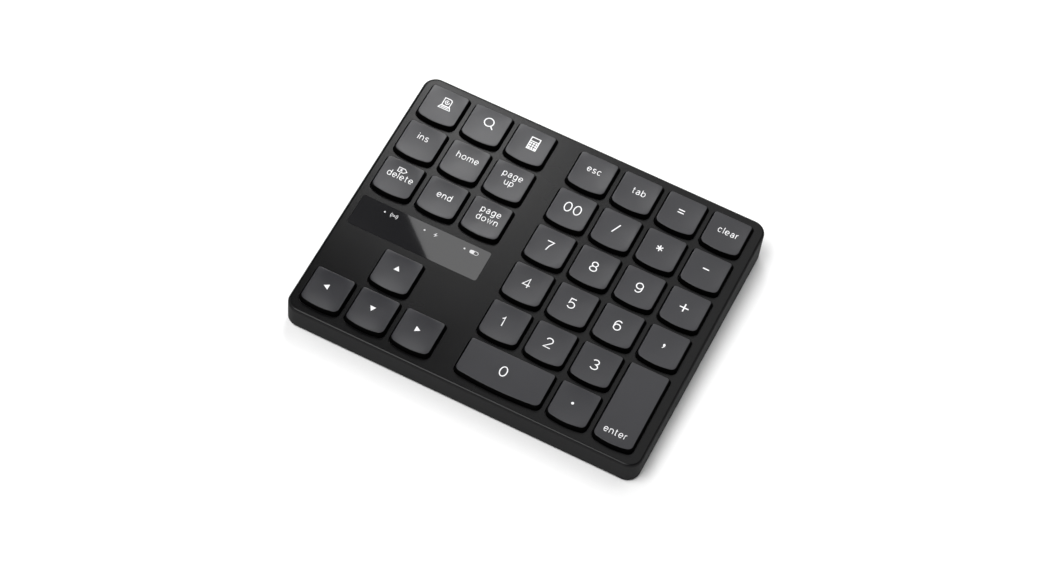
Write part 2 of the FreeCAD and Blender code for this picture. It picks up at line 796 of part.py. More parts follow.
def top_cover():
    """The upper shell: deck, skirt walls, key openings, window seat, bosses and garage."""
    body = new_body("top_cover")
    block = sketch_on(body, "XY_Plane")
    rounded_rectangle(block, "dims.case_width", "dims.case_depth", "dims.case_corner")
    solid = pad(body, block, "dims.rear_drop + dims.cut_past", down=True)
    round_edges(body, solid, edges_at_height(solid, 0), "dims.case_top_round")
    cavity = sketch_on(body, "XY_Plane", z="0 - dims.deck_thick")
    rounded_rectangle(cavity, INNER_WIDTH, INNER_DEPTH, INNER_ROUND)
    pocket(body, cavity, "dims.rear_drop + dims.cut_past")
    trim_below_floor(body)

    bosses = sketch_on(body, "XY_Plane", z="0 - dims.frame_top")
    circles(bosses, "dims.boss_radius", FRAME_SCREWS)
    pad(body, bosses, "dims.frame_top - dims.deck_thick / 2")
    holes = sketch_on(body, "XY_Plane", z="0 - dims.frame_top")
    circles(holes, "dims.frame_screw", FRAME_SCREWS)
    pocket(body, holes, "dims.frame_top - dims.frame_screw_tip + dims.screw_play", up=True)

    for block_name, first_column, first_row, columns, rows in GRIDS:
        opening = key_opening(body, column(block_name, first_column), row(first_row))
        repeat_on_grid(body, [opening], columns, rows)
    key_opening(body, *ZERO_PLACE, width=LONG_WIDTH)
    key_opening(body, *ENTER_PLACE, depth=LONG_DEPTH)

    window_seat(body)
    receiver_garage(body)
    rear_openings(body)
    place_on_deck(body)


def key_opening(body, x, y, width="dims.cap_width", depth="dims.cap_depth"):
    """A hole through the deck, a little larger than the foot of its keycap."""
    sketch = sketch_on(body, "XY_Plane", x, y)
    key_outline(
        sketch,
        f"({width} + 2 * dims.key_gap)",
        f"({depth} + 2 * dims.key_gap)",
        "(dims.cap_rear_round + dims.key_gap)",
        "(dims.cap_front_round + dims.key_gap)",
    )
    return pocket(body, sketch, "dims.deck_thick + dims.cut_past")


def window_seat(body):
    """A sunk seat for the indicator window, open in the middle for the lamps."""
    seat = sketch_on(body, "XY_Plane", "dims.window_x", "dims.window_y")
    rounded_rectangle(
        seat,
        "(dims.window_width + 2 * dims.window_play)",
        "(dims.window_depth + 2 * dims.window_play)",
        "(dims.window_round + dims.window_play)",
    )
    pocket(body, seat, "dims.window_thick")
    light = sketch_on(body, "XY_Plane", "dims.window_x", "dims.window_y")
    rounded_rectangle(
        light,
        "(dims.window_width - 2 * dims.window_ledge)",
        "(dims.window_depth - 2 * dims.window_ledge)",
        "dims.window_round",
    )
    pocket(body, light, "dims.deck_thick + dims.cut_past")


def receiver_garage(body):
    """A box under the deck, open through the left wall, in which the receiver is stowed."""
    left = "(0 - dims.case_width / 2)"
    inside_deck = "(dims.deck_thick / 2)"
    shell_end = f"({left} + dims.garage_deep + dims.garage_wall)"
    shell_start = f"({left} + dims.case_wall / 2)"
    middle = f"({shell_start} + {shell_end}) / 2"
    shell = sketch_on(body, "XY_Plane", middle, "dims.garage_y", f"0 - {inside_deck}")
    rectangle(shell, f"({shell_end} - {shell_start})", "(dims.garage_wide + 2 * dims.garage_wall)")
    pad(body, shell, f"{GARAGE_TOP} + dims.garage_tall + dims.garage_floor - {inside_deck}", down=True)
    hollow = sketch_on(body, "YZ_Plane", "dims.garage_y", f"0 - {GARAGE_MIDDLE}", left)
    rounded_rectangle(hollow, "dims.garage_wide", "dims.garage_tall", "dims.garage_round")
    pocket(body, hollow, "dims.garage_deep", up=True)


def on_rear_wall(height):
    """Height in the deck frame of the point of the rear wall that lies at a row-frame height."""
    return f"((({height}) - {DECK_Z}) / cos({TILT}) - dims.case_depth / 2 * tan({TILT}))"


BOARD_TOP = "(dims.foot_proud + dims.floor_thick + dims.rear_board_lift + dims.board_thick)"
PORT_HEIGHT = f"({BOARD_TOP} + dims.port_tall / 2)"
PORT_ROUND = "((dims.port_tall - dims.port_flat) / 2)"
KNOB_HEIGHT = f"({BOARD_TOP} + dims.switch_tall / 2)"
REAR_EDGE = f"({DECK_Y} + dims.case_depth / 2 * cos({TILT}))"
REAR_FACE = f"({REAR_EDGE} - {on_rear_wall(PORT_HEIGHT)} * sin({TILT}))"


def rear_openings(body):
    """Openings in the rear wall for the charging port and the power switch's knob."""
    outside = "(0 - dims.case_depth / 2 - dims.cut_past)"
    through = "dims.case_wall + 2 * dims.cut_past"
    port = sketch_on(body, "XZ_Plane", "dims.port_x", on_rear_wall(PORT_HEIGHT), outside)
    rounded_rectangle(
        port,
        "(dims.port_width + 2 * dims.port_gap)",
        "(dims.port_tall + 2 * dims.port_gap)",
        f"({PORT_ROUND} + dims.port_gap)",
    )
    pocket(body, port, through, up=True)
    middle = "(dims.switch_x + dims.switch_travel / 2)"
    slot_width = "(dims.switch_knob + dims.switch_travel + 2 * dims.switch_play)"
    slot_tall = "(dims.switch_knob_tall + 2 * dims.switch_play)"
    slot = sketch_on(body, "XZ_Plane", middle, on_rear_wall(KNOB_HEIGHT), outside)
    rounded_rectangle(slot, slot_width, slot_tall, "dims.slot_round")
    pocket(body, slot, through, up=True)
    recess = sketch_on(body, "XZ_Plane", middle, on_rear_wall(KNOB_HEIGHT), outside)
    rounded_rectangle(
        recess,
        f"({slot_width} + 2 * dims.switch_recess_margin)",
        f"({slot_tall} + dims.switch_recess_margin)",
        "dims.switch_recess_round",
    )
    pocket(body, recess, "dims.switch_recess + dims.cut_past", up=True)


def bottom_cover():
    """The floor plate inside the skirt, with screw bosses, cell ribs and board rests."""
    body = new_body("bottom_cover")
    reach = f"({PLATE_DEPTH} / 2)"
    thick = f"(dims.floor_thick / cos({TILT}))"
    plate = sketch_on(body, "YZ_Plane")
    closed_profile(
        plate,
        [
            (f"0 - {reach}", f"{reach} * {SLOPE} - {MIDDLE_DROP}"),
            (reach, f"0 - {reach} * {SLOPE} - {MIDDLE_DROP}"),
            (reach, f"{thick} - {reach} * {SLOPE} - {MIDDLE_DROP}"),
            (f"0 - {reach}", f"{thick} + {reach} * {SLOPE} - {MIDDLE_DROP}"),
        ],
    )
    slab = pad_across(body, plate, PLATE_WIDTH)
    doc.recompute([slab])
    corners = [
        f"Edge{number}"
        for number, edge in enumerate(slab.Shape.Edges, 1)
        if edge.BoundBox.XLength < 1e-4 and edge.BoundBox.YLength < 1e-4
    ]
    round_edges(body, slab, corners, PLATE_ROUND)

    bosses = sketch_on(body, "XY_Plane", z="0 - dims.case_post_end")
    circles(bosses, "dims.case_boss_radius", CASE_SCREWS)
    pad(body, bosses, "dims.rear_drop", down=True)
    trim_below_floor(body)
    holes = sketch_on(body, "XY_Plane", z="0 - dims.case_post_end")
    circles(holes, "(dims.case_screw + dims.screw_play)", CASE_SCREWS)
    pocket(body, holes, "dims.rear_drop")
    wells = sketch_on(body, "XY_Plane", z="0 - dims.case_post_end - dims.case_seat")
    circles(wells, "dims.case_well_radius", CASE_SCREWS)
    pocket(body, wells, "dims.rear_drop")

    sunk = floor_sketch(body)
    circles(sunk, "(dims.foot_radius + dims.foot_play)", FOOT_PLACES)
    pocket(body, sunk, "dims.foot_sunk", up=True)

    in_floor = "dims.floor_thick - dims.join_depth"
    wide = "(dims.cell_width + 2 * dims.cell_play)"
    deep = "(dims.cell_depth + 2 * dims.cell_play)"
    cell_y = f"(dims.cell_y - {FLOOR_Y})"
    ribs = floor_sketch(body, "dims.cell_x", cell_y, in_floor)
    around = "2 * dims.cell_rib"
    rounded_rectangle(ribs, f"({wide} + {around})", f"({deep} + {around})", "dims.cell_rib_round")
    pad(body, ribs, "dims.cell_rib + dims.join_depth")
    tray = floor_sketch(body, "dims.cell_x", cell_y, "dims.floor_thick")
    rectangle(tray, wide, deep)
    pocket(body, tray, "2 * dims.cell_rib", up=True)

    for side in ("0 - ", ""):
        place = f"(dims.rear_board_x + {side}(dims.rear_board_width / 2 - dims.rest_inset))"
        rest = floor_sketch(body, place, f"(dims.rear_board_y - {FLOOR_Y})", in_floor)
        rectangle(rest, "dims.rest_width", "dims.rest_depth")
        pad(body, rest, "dims.rear_board_lift + dims.join_depth")
    place_on_deck(body)


FOOT_PLACES = [
    (f"{side_x}(dims.case_width / 2 - dims.foot_inset)", f"{side_y}(dims.case_depth / 2 - dims.foot_inset)")
    for side_x in ("0 - ", "")
    for side_y in ("0 - ", "")
]


def rubber_feet():
    feet = [
        cylinder("dims.foot_radius", "dims.foot_proud + dims.foot_sunk", x, f"({y}) + {FLOOR_Y}", "0")
        for x, y in FOOT_PLACES
    ]
    joined(feet, "rubber_feet")


def indicator_window():
    """The smoked lens that lies flush in the deck."""
    body = new_body("indicator_window")
    sketch = sketch_on(body, "XY_Plane")
    rounded_rectangle(sketch, "dims.window_width", "dims.window_depth", "dims.window_round")
    pad(body, sketch, "dims.window_thick", down=True)
    place_on_deck(body, "dims.window_x", "dims.window_y")


# ---------------------------------------------------------------- key mechanism


def cable_slot(body, top, depth):
    """The slot in a plate or sheet through which the flat cable drops."""
    sketch = sketch_on(body, "XY_Plane", "dims.flex_x", "dims.flex_front", top)
    rectangle(sketch, "dims.flex_slot_width", "dims.flex_slot_depth")
    pocket(body, sketch, depth)


def key_frame():
    """The moulded plate that guides the plungers, with posts that hold the sandwich below."""
    body = new_body("key_frame")
    plate = sketch_on(body, "XY_Plane", z="0 - dims.frame_top")
    rounded_rectangle(plate, PLATE_WIDTH, PLATE_DEPTH, PLATE_ROUND)
    pad(body, plate, "dims.frame_thick", down=True)

    posts = sketch_on(body, "XY_Plane", z=f"0 - {FRAME_BOTTOM}")
    circles(posts, "dims.post_radius", FRAME_SCREWS)
    pad(body, posts, f"dims.sheet_top - {FRAME_BOTTOM}", down=True)
    columns = sketch_on(body, "XY_Plane", z=f"0 - {FRAME_BOTTOM}")
    circles(columns, "dims.case_post_radius", CASE_SCREWS)
    pad(body, columns, f"dims.case_post_end - {FRAME_BOTTOM}", down=True)
    holes = sketch_on(body, "XY_Plane", z="0 - dims.frame_top")
    circles(holes, "dims.frame_screw + dims.screw_play", FRAME_SCREWS)
    pocket(body, holes, "dims.rear_drop")
    threads = sketch_on(body, "XY_Plane", z="0 - dims.case_post_end")
    circles(threads, "dims.case_screw", CASE_SCREWS)
    pocket(body, threads, "dims.case_post_end - dims.case_screw_tip + 2 * dims.screw_play", up=True)

    clips(body)
    sleeves(body)

    light = sketch_on(body, "XY_Plane", "dims.window_x", "dims.window_y", "0 - dims.frame_top")
    rectangle(light, "(dims.main_board_width - 2 * dims.light_margin)", "dims.light_depth")
    pocket(body, light, "dims.frame_thick")
    stakes = sketch_on(body, "XY_Plane", "dims.window_x", "dims.window_y", "0 - dims.frame_top")
    circles(stakes, "dims.stake_radius", STAKES)
    pad(body, stakes, "dims.board_thick + dims.stake_proud")
    garage_notch(body)
    cable_slot(body, "0 - dims.frame_top", "dims.frame_thick")
    place_on_deck(body)


STAKES = [(f"{side}(dims.main_board_width / 2 - dims.stake_inset)", "0") for side in ("0 - ", "")]


def garage_notch(body):
    """Clears the plate around the receiver's garage, which hangs from the deck."""
    length = "(dims.garage_deep + dims.garage_wall + dims.cut_past)"
    width = "(dims.garage_wide + 2 * dims.garage_wall + 2 * dims.garage_play)"
    middle = f"({length} - dims.case_width) / 2"
    notch = sketch_on(body, "XY_Plane", middle, "dims.garage_y", "0 - dims.frame_top")
    rectangle(notch, length, width)
    pocket(body, notch, "dims.frame_thick")


def sleeves(body):
    """The guide sleeves: a tube through the plate under every key."""
    tubes = sketch_on(body, "XY_Plane", z="0 - dims.sleeve_top")
    circles(tubes, "dims.sleeve_radius", KEY_PLACES)
    pad(body, tubes, "dims.sleeve_end - dims.sleeve_top", down=True)
    bores = sketch_on(body, "XY_Plane", z="0 - dims.sleeve_top")
    circles(bores, "(dims.stem_radius + dims.stem_play)", KEY_PLACES)
    pocket(body, bores, "dims.sleeve_end - dims.sleeve_top")


def clips(body):
    """Two clips for each stabiliser wire, and windows for the lugs of the long keycaps."""
    clip_reach = "(dims.wire_half - dims.clip_inset)"
    plate_top = "0 - dims.frame_top"
    for x, y, turned_over in (*ZERO_PLACE, False), (*ENTER_PLACE, True):
        for side in ("", "0 - "):
            clip_x, clip_y = swapped(f"{side}{clip_reach}", "dims.wire_offset", turned_over)
            lug_x, lug_y = swapped(f"{side}{LUG_REACH}", WIRE_TIP, turned_over)
            clip = sketch_on(body, "XY_Plane", f"{x} + {clip_x}", f"{y} + {clip_y}", plate_top)
            rectangle(clip, "dims.clip_width", "dims.clip_width")
            pad(body, clip, "dims.frame_top - dims.clip_top")
            window = sketch_on(body, "XY_Plane", f"{x} + {lug_x}", f"{y} + {lug_y}", plate_top)
            rectangle(window, "dims.lug_window", "dims.lug_window")
            pocket(body, window, "dims.frame_thick")
        if turned_over:
            bore = sketch_on(body, "XZ_Plane", f"{x} - dims.wire_offset", "0 - dims.wire_height", f"0 - {y}")
        else:
            bore = sketch_on(body, "YZ_Plane", f"{y} + dims.wire_offset", "0 - dims.wire_height", x)
        circles(bore, "(dims.wire_radius + dims.wire_play)", [("0", "0")])
        pocket_across(body, bore, "2 * dims.wire_half")


def swapped(along, across, turned_over):
    """Places along and across a long key, for one that lies along X or one that lies along Y."""
    if turned_over:
        return f"(0 - ({across}))", f"({along})"
    return f"({along})", f"({across})"


def stabiliser(label, place, turned_over):
    """A bent spring wire: a straight bar, two arms and two ends that hook into the keycap."""
    thick = "dims.wire_radius"
    half = "dims.wire_half"
    arm = "dims.wire_arm"
    pieces = [lying_cylinder(thick, f"2 * {half}", f"0 - {half}", "0", "0", (1, 0, 0))]
    for side, end_start in ((f"0 - {half}", f"0 - {half}"), (half, f"{half} - dims.wire_end")):
        pieces.append(lying_cylinder(thick, arm, side, f"0 - {arm}", "0", (0, 1, 0)))
        pieces.append(lying_cylinder(thick, "dims.wire_end", end_start, f"0 - {arm}", "0", (1, 0, 0)))
        pieces.append(ball(thick, side, "0", "0"))
        pieces.append(ball(thick, side, f"0 - {arm}", "0"))
    wire = joined(pieces, label)
    x, y = place
    if turned_over:
        place_on_deck(wire, f"{x} - dims.wire_offset", y, "0 - dims.wire_height")
        turn = FreeCAD.Rotation(FreeCAD.Vector(0, 0, 1), 90)
        lean = FreeCAD.Rotation(FreeCAD.Vector(1, 0, 0), -value("dims.wire_lean"))
        deck = FreeCAD.Rotation(FreeCAD.Vector(1, 0, 0), value(TILT))
        wire.setExpression("Placement.Rotation.Angle", None)
        wire.Placement = FreeCAD.Placement(FreeCAD.Vector(), deck.multiply(turn).multiply(lean))
    else:
        place_on_deck(wire, x, f"{y} + dims.wire_offset", "0 - dims.wire_height", "0 - dims.wire_lean")


def plain_sheet(label, top, thick, holes_at_keys=False):
    """A flat sheet of the sandwich, pierced for the posts, the screws and the cable."""
    body = new_body(label)
    outline = sketch_on(body, "XY_Plane", z=f"0 - {top}")
    rounded_rectangle(outline, PLATE_WIDTH, PLATE_DEPTH, PLATE_ROUND)
    pad(body, outline, thick, down=True)
    pierce(body, f"0 - {top}")
    if holes_at_keys:
        contacts = sketch_on(body, "XY_Plane", z=f"0 - {top}")
        circles(contacts, "dims.contact_radius", KEY_PLACES)
        pocket(body, contacts, thick)
    place_on_deck(body)


def pierce(body, top):
    """Holes through a sheet for the frame's screws, the case's posts and the flat cable."""
    depth = "2 * dims.sheet_thick"
    small = sketch_on(body, "XY_Plane", z=top)
    circles(small, "dims.frame_screw + dims.sheet_play", FRAME_SCREWS)
    pocket(body, small, depth)
    large = sketch_on(body, "XY_Plane", z=top)
    circles(large, "dims.case_post_radius + dims.post_play", CASE_SCREWS)
    pocket(body, large, depth)
    cable_slot(body, top, depth)


DOME_STEPS = [
    ("dims.dome_root_radius", "dims.dome_waist"),
    ("dims.dome_waist_radius", "dims.dome_shoulder"),
    ("dims.dome_top_radius", "dims.dome_top"),
]


def dome_sheet():
    """The rubber sheet, with one hollow dome under each key."""
    body = new_body("dome_sheet")
    outline = sketch_on(body, "XY_Plane", z="0 - dims.sheet_top")
    rounded_rectangle(outline, PLATE_WIDTH, PLATE_DEPTH, PLATE_ROUND)
    pad(body, outline, "dims.sheet_thick", down=True)
    pierce(body, "0 - dims.sheet_top")
    for radius, height in DOME_STEPS:
        step = sketch_on(body, "XY_Plane", z="0 - dims.sheet_top")
        circles(step, radius, KEY_PLACES)
        pad(body, step, f"dims.sheet_top - {height}")
    for radius, height in DOME_STEPS:
        hollow = sketch_on(body, "XY_Plane", z=f"0 - {SHEET_BOTTOM}")
        circles(hollow, f"({radius} - dims.dome_skin)", KEY_PLACES)
        pocket(body, hollow, f"{SHEET_BOTTOM} - {height} - dims.dome_crown", up=True)
    place_on_deck(body)


def screws(label, kind, places, seat):
    """Screws whose heads hang under a seat, with their sizes in the sheet under the kind's name."""
    head = f"dims.{kind}_head"
    cap = f"dims.{kind}_cap"
    shank_end = f"(0 - {seat} - dims.join_depth)"
    shank_length = f"(0 - dims.{kind}_tip - {shank_end})"
    pieces = []
    for x, y in places:
        pieces.append(cylinder(head, cap, x, y, f"0 - {seat} - {cap}"))
        pieces.append(cylinder(f"dims.{kind}", shank_length, x, y, shank_end))
    place_on_deck(joined(pieces, label))


# ---------------------------------------------------------------- electronics


def main_board():
    """The board behind the window, held by two stakes of the key frame."""
    top = "(dims.frame_top - dims.board_thick)"
    plate = box("dims.main_board_width", "dims.main_board_depth", "dims.board_thick", "0", "0", "0")
    holes = [
        cylinder("dims.stake_radius + dims.screw_play", "3 * dims.board_thick", x, y, "0 - dims.board_thick")
        for x, y in STAKES
    ]
    board = cut(plate, holes, "main_board")
    place_on_deck(board, "dims.window_x", "dims.window_y", f"0 - {top} - dims.board_thick")


def board_components():
    """Three indicator lamps on the board, and a controller, a crystal and a radio under it."""
    lamps = [
        box(
            "dims.lamp_size",
            "dims.lamp_size / 2",
            "dims.lamp_tall",
            f"dims.lamp_left + {number} * dims.lamp_pitch",
            "dims.lamp_row",
            "dims.board_thick",
        )
        for number in range(3)
    ]
    chip = box("dims.chip_size", "dims.chip_size", "dims.chip_tall", "0", "0", "0 - dims.chip_tall")
    crystal = box(
        "dims.crystal_width",
        "dims.crystal_depth",
        "dims.crystal_tall",
        "dims.chip_pitch",
        "0",
        "0 - dims.crystal_tall",
    )
    radio = box(
        "dims.radio_width",
        "dims.radio_depth",
        "dims.radio_tall",
        "0 - dims.chip_pitch",
        "0",
        "0 - dims.radio_tall",
    )
    pieces = joined([*lamps, chip, crystal, radio], "board_components")
    place_on_deck(pieces, "dims.window_x", "dims.window_y", "0 - dims.frame_top")


def flex_cable():
    """The flat cable from the main board, through the sandwich, to the rear board."""
    body = new_body("flex_cable")
    upper = "(0 - dims.frame_top + dims.flex_thick)"
    lower = "(0 - dims.frame_top)"
    run = "(0 - dims.flex_run)"
    tail = "(0 - dims.flex_run - dims.flex_tail)"
    sketch = sketch_on(body, "YZ_Plane", z="dims.flex_x")
    front = "(dims.flex_front - dims.flex_thick / 2)"
    back = "(dims.flex_front + dims.flex_thick / 2)"
    closed_profile(
        sketch,
        [
            (front, upper),
            (front, f"{run} - dims.flex_thick"),
            ("dims.flex_rear - dims.flex_thick", f"{run} - dims.flex_thick"),
            ("dims.flex_rear - dims.flex_thick", tail),
            ("dims.flex_rear", tail),
            ("dims.flex_rear", run),
            (back, run),
            (back, lower),
            (f"{back} + dims.flex_tab", lower),
            (f"{back} + dims.flex_tab", upper),
        ],
    )
    pad_across(body, sketch, "dims.flex_width")
    place_on_deck(body)


def rear_board():
    """The small board at the rear for the charging port and the power switch."""
    floor_top = "(dims.foot_proud + dims.floor_thick)"
    body = new_body("power_board")
    sketch = sketch_on(body, "XY_Plane")
    rectangle(sketch, "dims.rear_board_width", "dims.rear_board_depth")
    pad(body, sketch, "dims.board_thick")
    place_in_row(body, "dims.rear_board_x", "dims.rear_board_y", f"{floor_top} + dims.rear_board_lift")


def usb_c_port():
    """A USB-C socket: a drawn steel shell with the contact tongue inside."""
    body = new_body("usb_c_port")
    shell = sketch_on(body, "XZ_Plane")
    rounded_rectangle(shell, "dims.port_width", "dims.port_tall", PORT_ROUND)
    pad(body, shell, "dims.port_length")
    mouth = sketch_on(body, "XZ_Plane")
    rounded_rectangle(
        mouth,
        "(dims.port_width - 2 * dims.port_shell)",
        "(dims.port_tall - 2 * dims.port_shell)",
        f"({PORT_ROUND} - dims.port_shell)",
    )
    pocket(body, mouth, "dims.port_length - dims.port_back", up=True)
    tongue = sketch_on(body, "XZ_Plane", z="dims.port_length - dims.port_back / 2")
    rectangle(tongue, "dims.port_tongue_width", "dims.port_tongue_thick")
    pad(body, tongue, "dims.port_length - 1.5 * dims.port_back", down=True)
    place_in_row(body, "dims.port_x", f"{REAR_FACE} - dims.port_sunk", PORT_HEIGHT)


def power_switch():
    """A slide switch: its fixed body, and the knob that a fingernail moves sideways."""
    back = f"({REAR_FACE} - dims.case_wall - dims.switch_gap)"
    body_y = f"({back} - dims.switch_length / 2)"
    middle = "(dims.switch_x + dims.switch_travel / 2)"
    stroke = "(dims.switch_knob + dims.switch_travel + 2 * dims.switch_play)"
    housing = box("dims.switch_width", "dims.switch_length", "dims.switch_tall", middle, body_y, BOARD_TOP)
    track = box(
        stroke,
        "dims.switch_length",
        "(dims.switch_knob_tall + dims.switch_play)",
        middle,
        f"{body_y} + dims.switch_bite",
        f"{KNOB_HEIGHT} - (dims.switch_knob_tall + dims.switch_play) / 2",
    )
    cut(housing, [track], "power_switch_body")
    knob_length = "(dims.case_wall + dims.switch_bite)"
    knob = box(
        "dims.switch_knob",
        knob_length,
        "dims.switch_knob_tall",
        "dims.switch_x",
        f"{REAR_FACE} - dims.switch_sunk - {knob_length} / 2",
        f"{KNOB_HEIGHT} - dims.switch_knob_tall / 2",
    )
    subpart(knob, "power_switch_knob")


def battery():
    """The flat lithium cell on the floor of the case."""
    body = new_body("battery")
    sketch = sketch_on(body, "XY_Plane")
    rounded_rectangle(sketch, "dims.cell_width", "dims.cell_depth", "dims.cell_corner")
    cell = pad(body, sketch, "dims.cell_thick")
    round_edges(body, cell, edges_at_height(cell, value("dims.cell_thick")), "dims.cell_round")
    place_in_row(body, "dims.cell_x", "dims.cell_y", "dims.foot_proud + dims.floor_thick")


# ---------------------------------------------------------------- receiver

RECEIVER_Z = f"(0 - {GARAGE_MIDDLE})"
CAP_INNER_X = "(dims.receiver_sunk + dims.receiver_cap_length - dims.case_width / 2)"


def receiver():
    """The stowed USB receiver: a plastic cap, the steel shell of its plug and the contact block."""
    cap = new_body("receiver_cap")
    outline = sketch_on(cap, "YZ_Plane", z="0 - dims.receiver_cap_length")
    rounded_rectangle(outline, "dims.receiver_cap_wide", "dims.receiver_cap_tall", "dims.receiver_round")
    pad(cap, outline, "dims.receiver_cap_length")
    for number in range(1, 4):
        across = f"{number} * dims.groove_pitch - dims.receiver_cap_length"
        groove = sketch_on(cap, "XY_Plane", across, "0", "dims.receiver_cap_tall / 2")
        rectangle(groove, "dims.groove_width", "(dims.receiver_cap_wide - 2 * dims.groove_inset)")
        pocket(cap, groove, "dims.groove_deep")
    place_on_deck(cap, CAP_INNER_X, "dims.garage_y", RECEIVER_Z)

    shell = new_body("receiver_shell")
    outside = sketch_on(shell, "YZ_Plane")
    rounded_rectangle(outside, "dims.plug_width", "dims.plug_tall", "dims.plug_round")
    pad(shell, outside, "dims.plug_length")
    inside = sketch_on(shell, "YZ_Plane", z="dims.plug_length")
    rounded_rectangle(
        inside,
        "(dims.plug_width - 2 * dims.plug_sheet)",
        "(dims.plug_tall - 2 * dims.plug_sheet)",
        "(dims.plug_round - dims.plug_sheet)",
    )
    pocket(shell, inside, "dims.plug_length")
    for side in ("0 - ", ""):
        place = f"{side}dims.plug_window_x"
        window = sketch_on(shell, "XY_Plane", "dims.plug_window_y", place, "dims.plug_tall / 2")
        rectangle(window, "dims.plug_window", "dims.plug_window")
        pocket(shell, window, "2 * dims.plug_sheet")
    place_on_deck(shell, CAP_INNER_X, "dims.garage_y", RECEIVER_Z)

    insert = new_body("receiver_insert")
    lies_at = "0 - (dims.plug_tall / 2 - dims.plug_sheet - dims.plug_tongue / 2)"
    block = sketch_on(insert, "YZ_Plane", "0", lies_at)
    rectangle(block, "(dims.plug_width - 2 * dims.plug_round)", "dims.plug_tongue")
    pad(insert, block, "dims.plug_length - dims.plug_recess")
    place_on_deck(insert, CAP_INNER_X, "dims.garage_y", RECEIVER_Z)


# ---------------------------------------------------------------- build, check and write


def build():
    keycaps()
    top_cover()
    bottom_cover()
    key_frame()
    dome_sheet()
    plain_sheet("membrane_upper", SHEET_BOTTOM, "dims.film_thick")
    plain_sheet("membrane_spacer", SPACER_TOP, "dims.film_thick", holes_at_keys=True)
    plain_sheet("membrane_lower", f"({SPACER_TOP} + dims.film_thick)", "dims.film_thick")
    plain_sheet("backplate", STEEL_TOP, "dims.steel_thick")
    indicator_window()
    main_board()
    board_components()
    flex_cable()
    rear_board()
    usb_c_port()
    power_switch()
    battery()
    rubber_feet()
    screws("frame_screws", "frame_screw", FRAME_SCREWS, STEEL_BOTTOM)
    screws("case_screws", "case_screw", CASE_SCREWS, "(dims.case_post_end + dims.case_seat)")
    stabiliser("zero_stabiliser", ZERO_PLACE, False)
    stabiliser("enter_stabiliser", ENTER_PLACE, True)
    receiver()
    doc.recompute()


def check():
    """Stops the build when any object failed or any sub-part has no valid shape."""
    for item in doc.Objects:
        if "Invalid" in item.State or "Error" in item.State:
            raise RuntimeError(f"{item.Label} did not build: {item.State}")
    for piece in SUBPARTS:
        shape = piece.Shape
        if shape.isNull() or not shape.isValid() or not shape.Solids:
            raise RuntimeError(f"{piece.Label} has no valid solid")
        print(f"{piece.Label}: {len(shape.Solids)} solids, {shape.Volume:.1f} mm3")


def write():
    os.makedirs("parts", exist_ok=True)
    for piece in SUBPARTS:
        piece.Shape.exportStep(f"parts/{piece.Label}.step")


build()
check()
write()
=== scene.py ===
import json
import math

import bmesh
import bpy
from mathutils import Matrix, Vector


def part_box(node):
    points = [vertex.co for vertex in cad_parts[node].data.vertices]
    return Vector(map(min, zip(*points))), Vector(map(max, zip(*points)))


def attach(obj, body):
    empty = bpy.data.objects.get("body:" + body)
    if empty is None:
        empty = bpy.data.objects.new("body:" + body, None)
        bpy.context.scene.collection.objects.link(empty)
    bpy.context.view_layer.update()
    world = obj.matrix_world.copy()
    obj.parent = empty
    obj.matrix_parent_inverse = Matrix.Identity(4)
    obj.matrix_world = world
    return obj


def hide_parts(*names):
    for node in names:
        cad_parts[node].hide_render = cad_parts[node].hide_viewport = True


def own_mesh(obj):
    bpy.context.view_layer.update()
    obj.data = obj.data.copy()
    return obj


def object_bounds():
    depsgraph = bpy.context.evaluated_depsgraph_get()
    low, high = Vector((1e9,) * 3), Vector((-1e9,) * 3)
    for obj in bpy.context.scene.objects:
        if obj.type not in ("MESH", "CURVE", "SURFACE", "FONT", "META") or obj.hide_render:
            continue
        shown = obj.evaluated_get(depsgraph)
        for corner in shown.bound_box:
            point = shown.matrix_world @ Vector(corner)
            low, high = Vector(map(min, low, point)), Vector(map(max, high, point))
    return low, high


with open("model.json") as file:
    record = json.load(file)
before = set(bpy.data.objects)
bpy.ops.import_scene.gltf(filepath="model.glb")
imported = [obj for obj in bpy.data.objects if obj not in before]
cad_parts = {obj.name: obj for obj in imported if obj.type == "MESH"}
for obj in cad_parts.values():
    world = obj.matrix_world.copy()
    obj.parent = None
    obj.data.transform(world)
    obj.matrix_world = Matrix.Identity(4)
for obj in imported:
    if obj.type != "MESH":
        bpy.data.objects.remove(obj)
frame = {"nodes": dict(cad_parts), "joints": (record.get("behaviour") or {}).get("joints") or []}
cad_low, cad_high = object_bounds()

# Looks of a cordless numeric keypad. Lengths in this script are millimetres in the deck frame,
# whose XY plane is the top of the deck, unless a name says otherwise. MM turns them to metres.

MM = 0.001

KEY_PITCH = 19.0
CAP_PROUD = 2.2
CAP_SKIRT = 0.5
CAP_TAPER = 1.0
CAP_BOW = 1.1
CAP_EDGE = 0.3
CAP_WALL = 0.9
CAP_ROOF = 1.1
CAP_FOOT_EDGE = 0.08
CAP_INNER_EDGE = 0.1
DISH_SINK = 0.24
DISH_RINGS = (0.97, 0.93, 0.87, 0.78, 0.66, 0.52, 0.37, 0.22, 0.1)
STEM_RADIUS = 2.5
STEM_END = 4.9
STEM_SIDES = 24
STEM_BITE = 0.2
INK_HEIGHT = 0.025

# The least rise of a face's normal that makes it part of the satin top, not of the side, which is painted
# near black as painted shade.
TOP_FACING = 0.8

# Depth of the rubber sheet's top.
SHEET_TOP = 7.7
DOME_SIDES = 32

# The part of a texture's 0 to 1 that colours, and other values, are blended over.
COLOUR_SPAN = (0.35, 0.65)
VALUE_SPAN = (0.3, 0.7)


# ---------------------------------------------------------------- the deck frame


def joint_axis(name):
    joint = next(item for item in frame["joints"] if item["name"] == name)
    return Vector(joint["axis"])


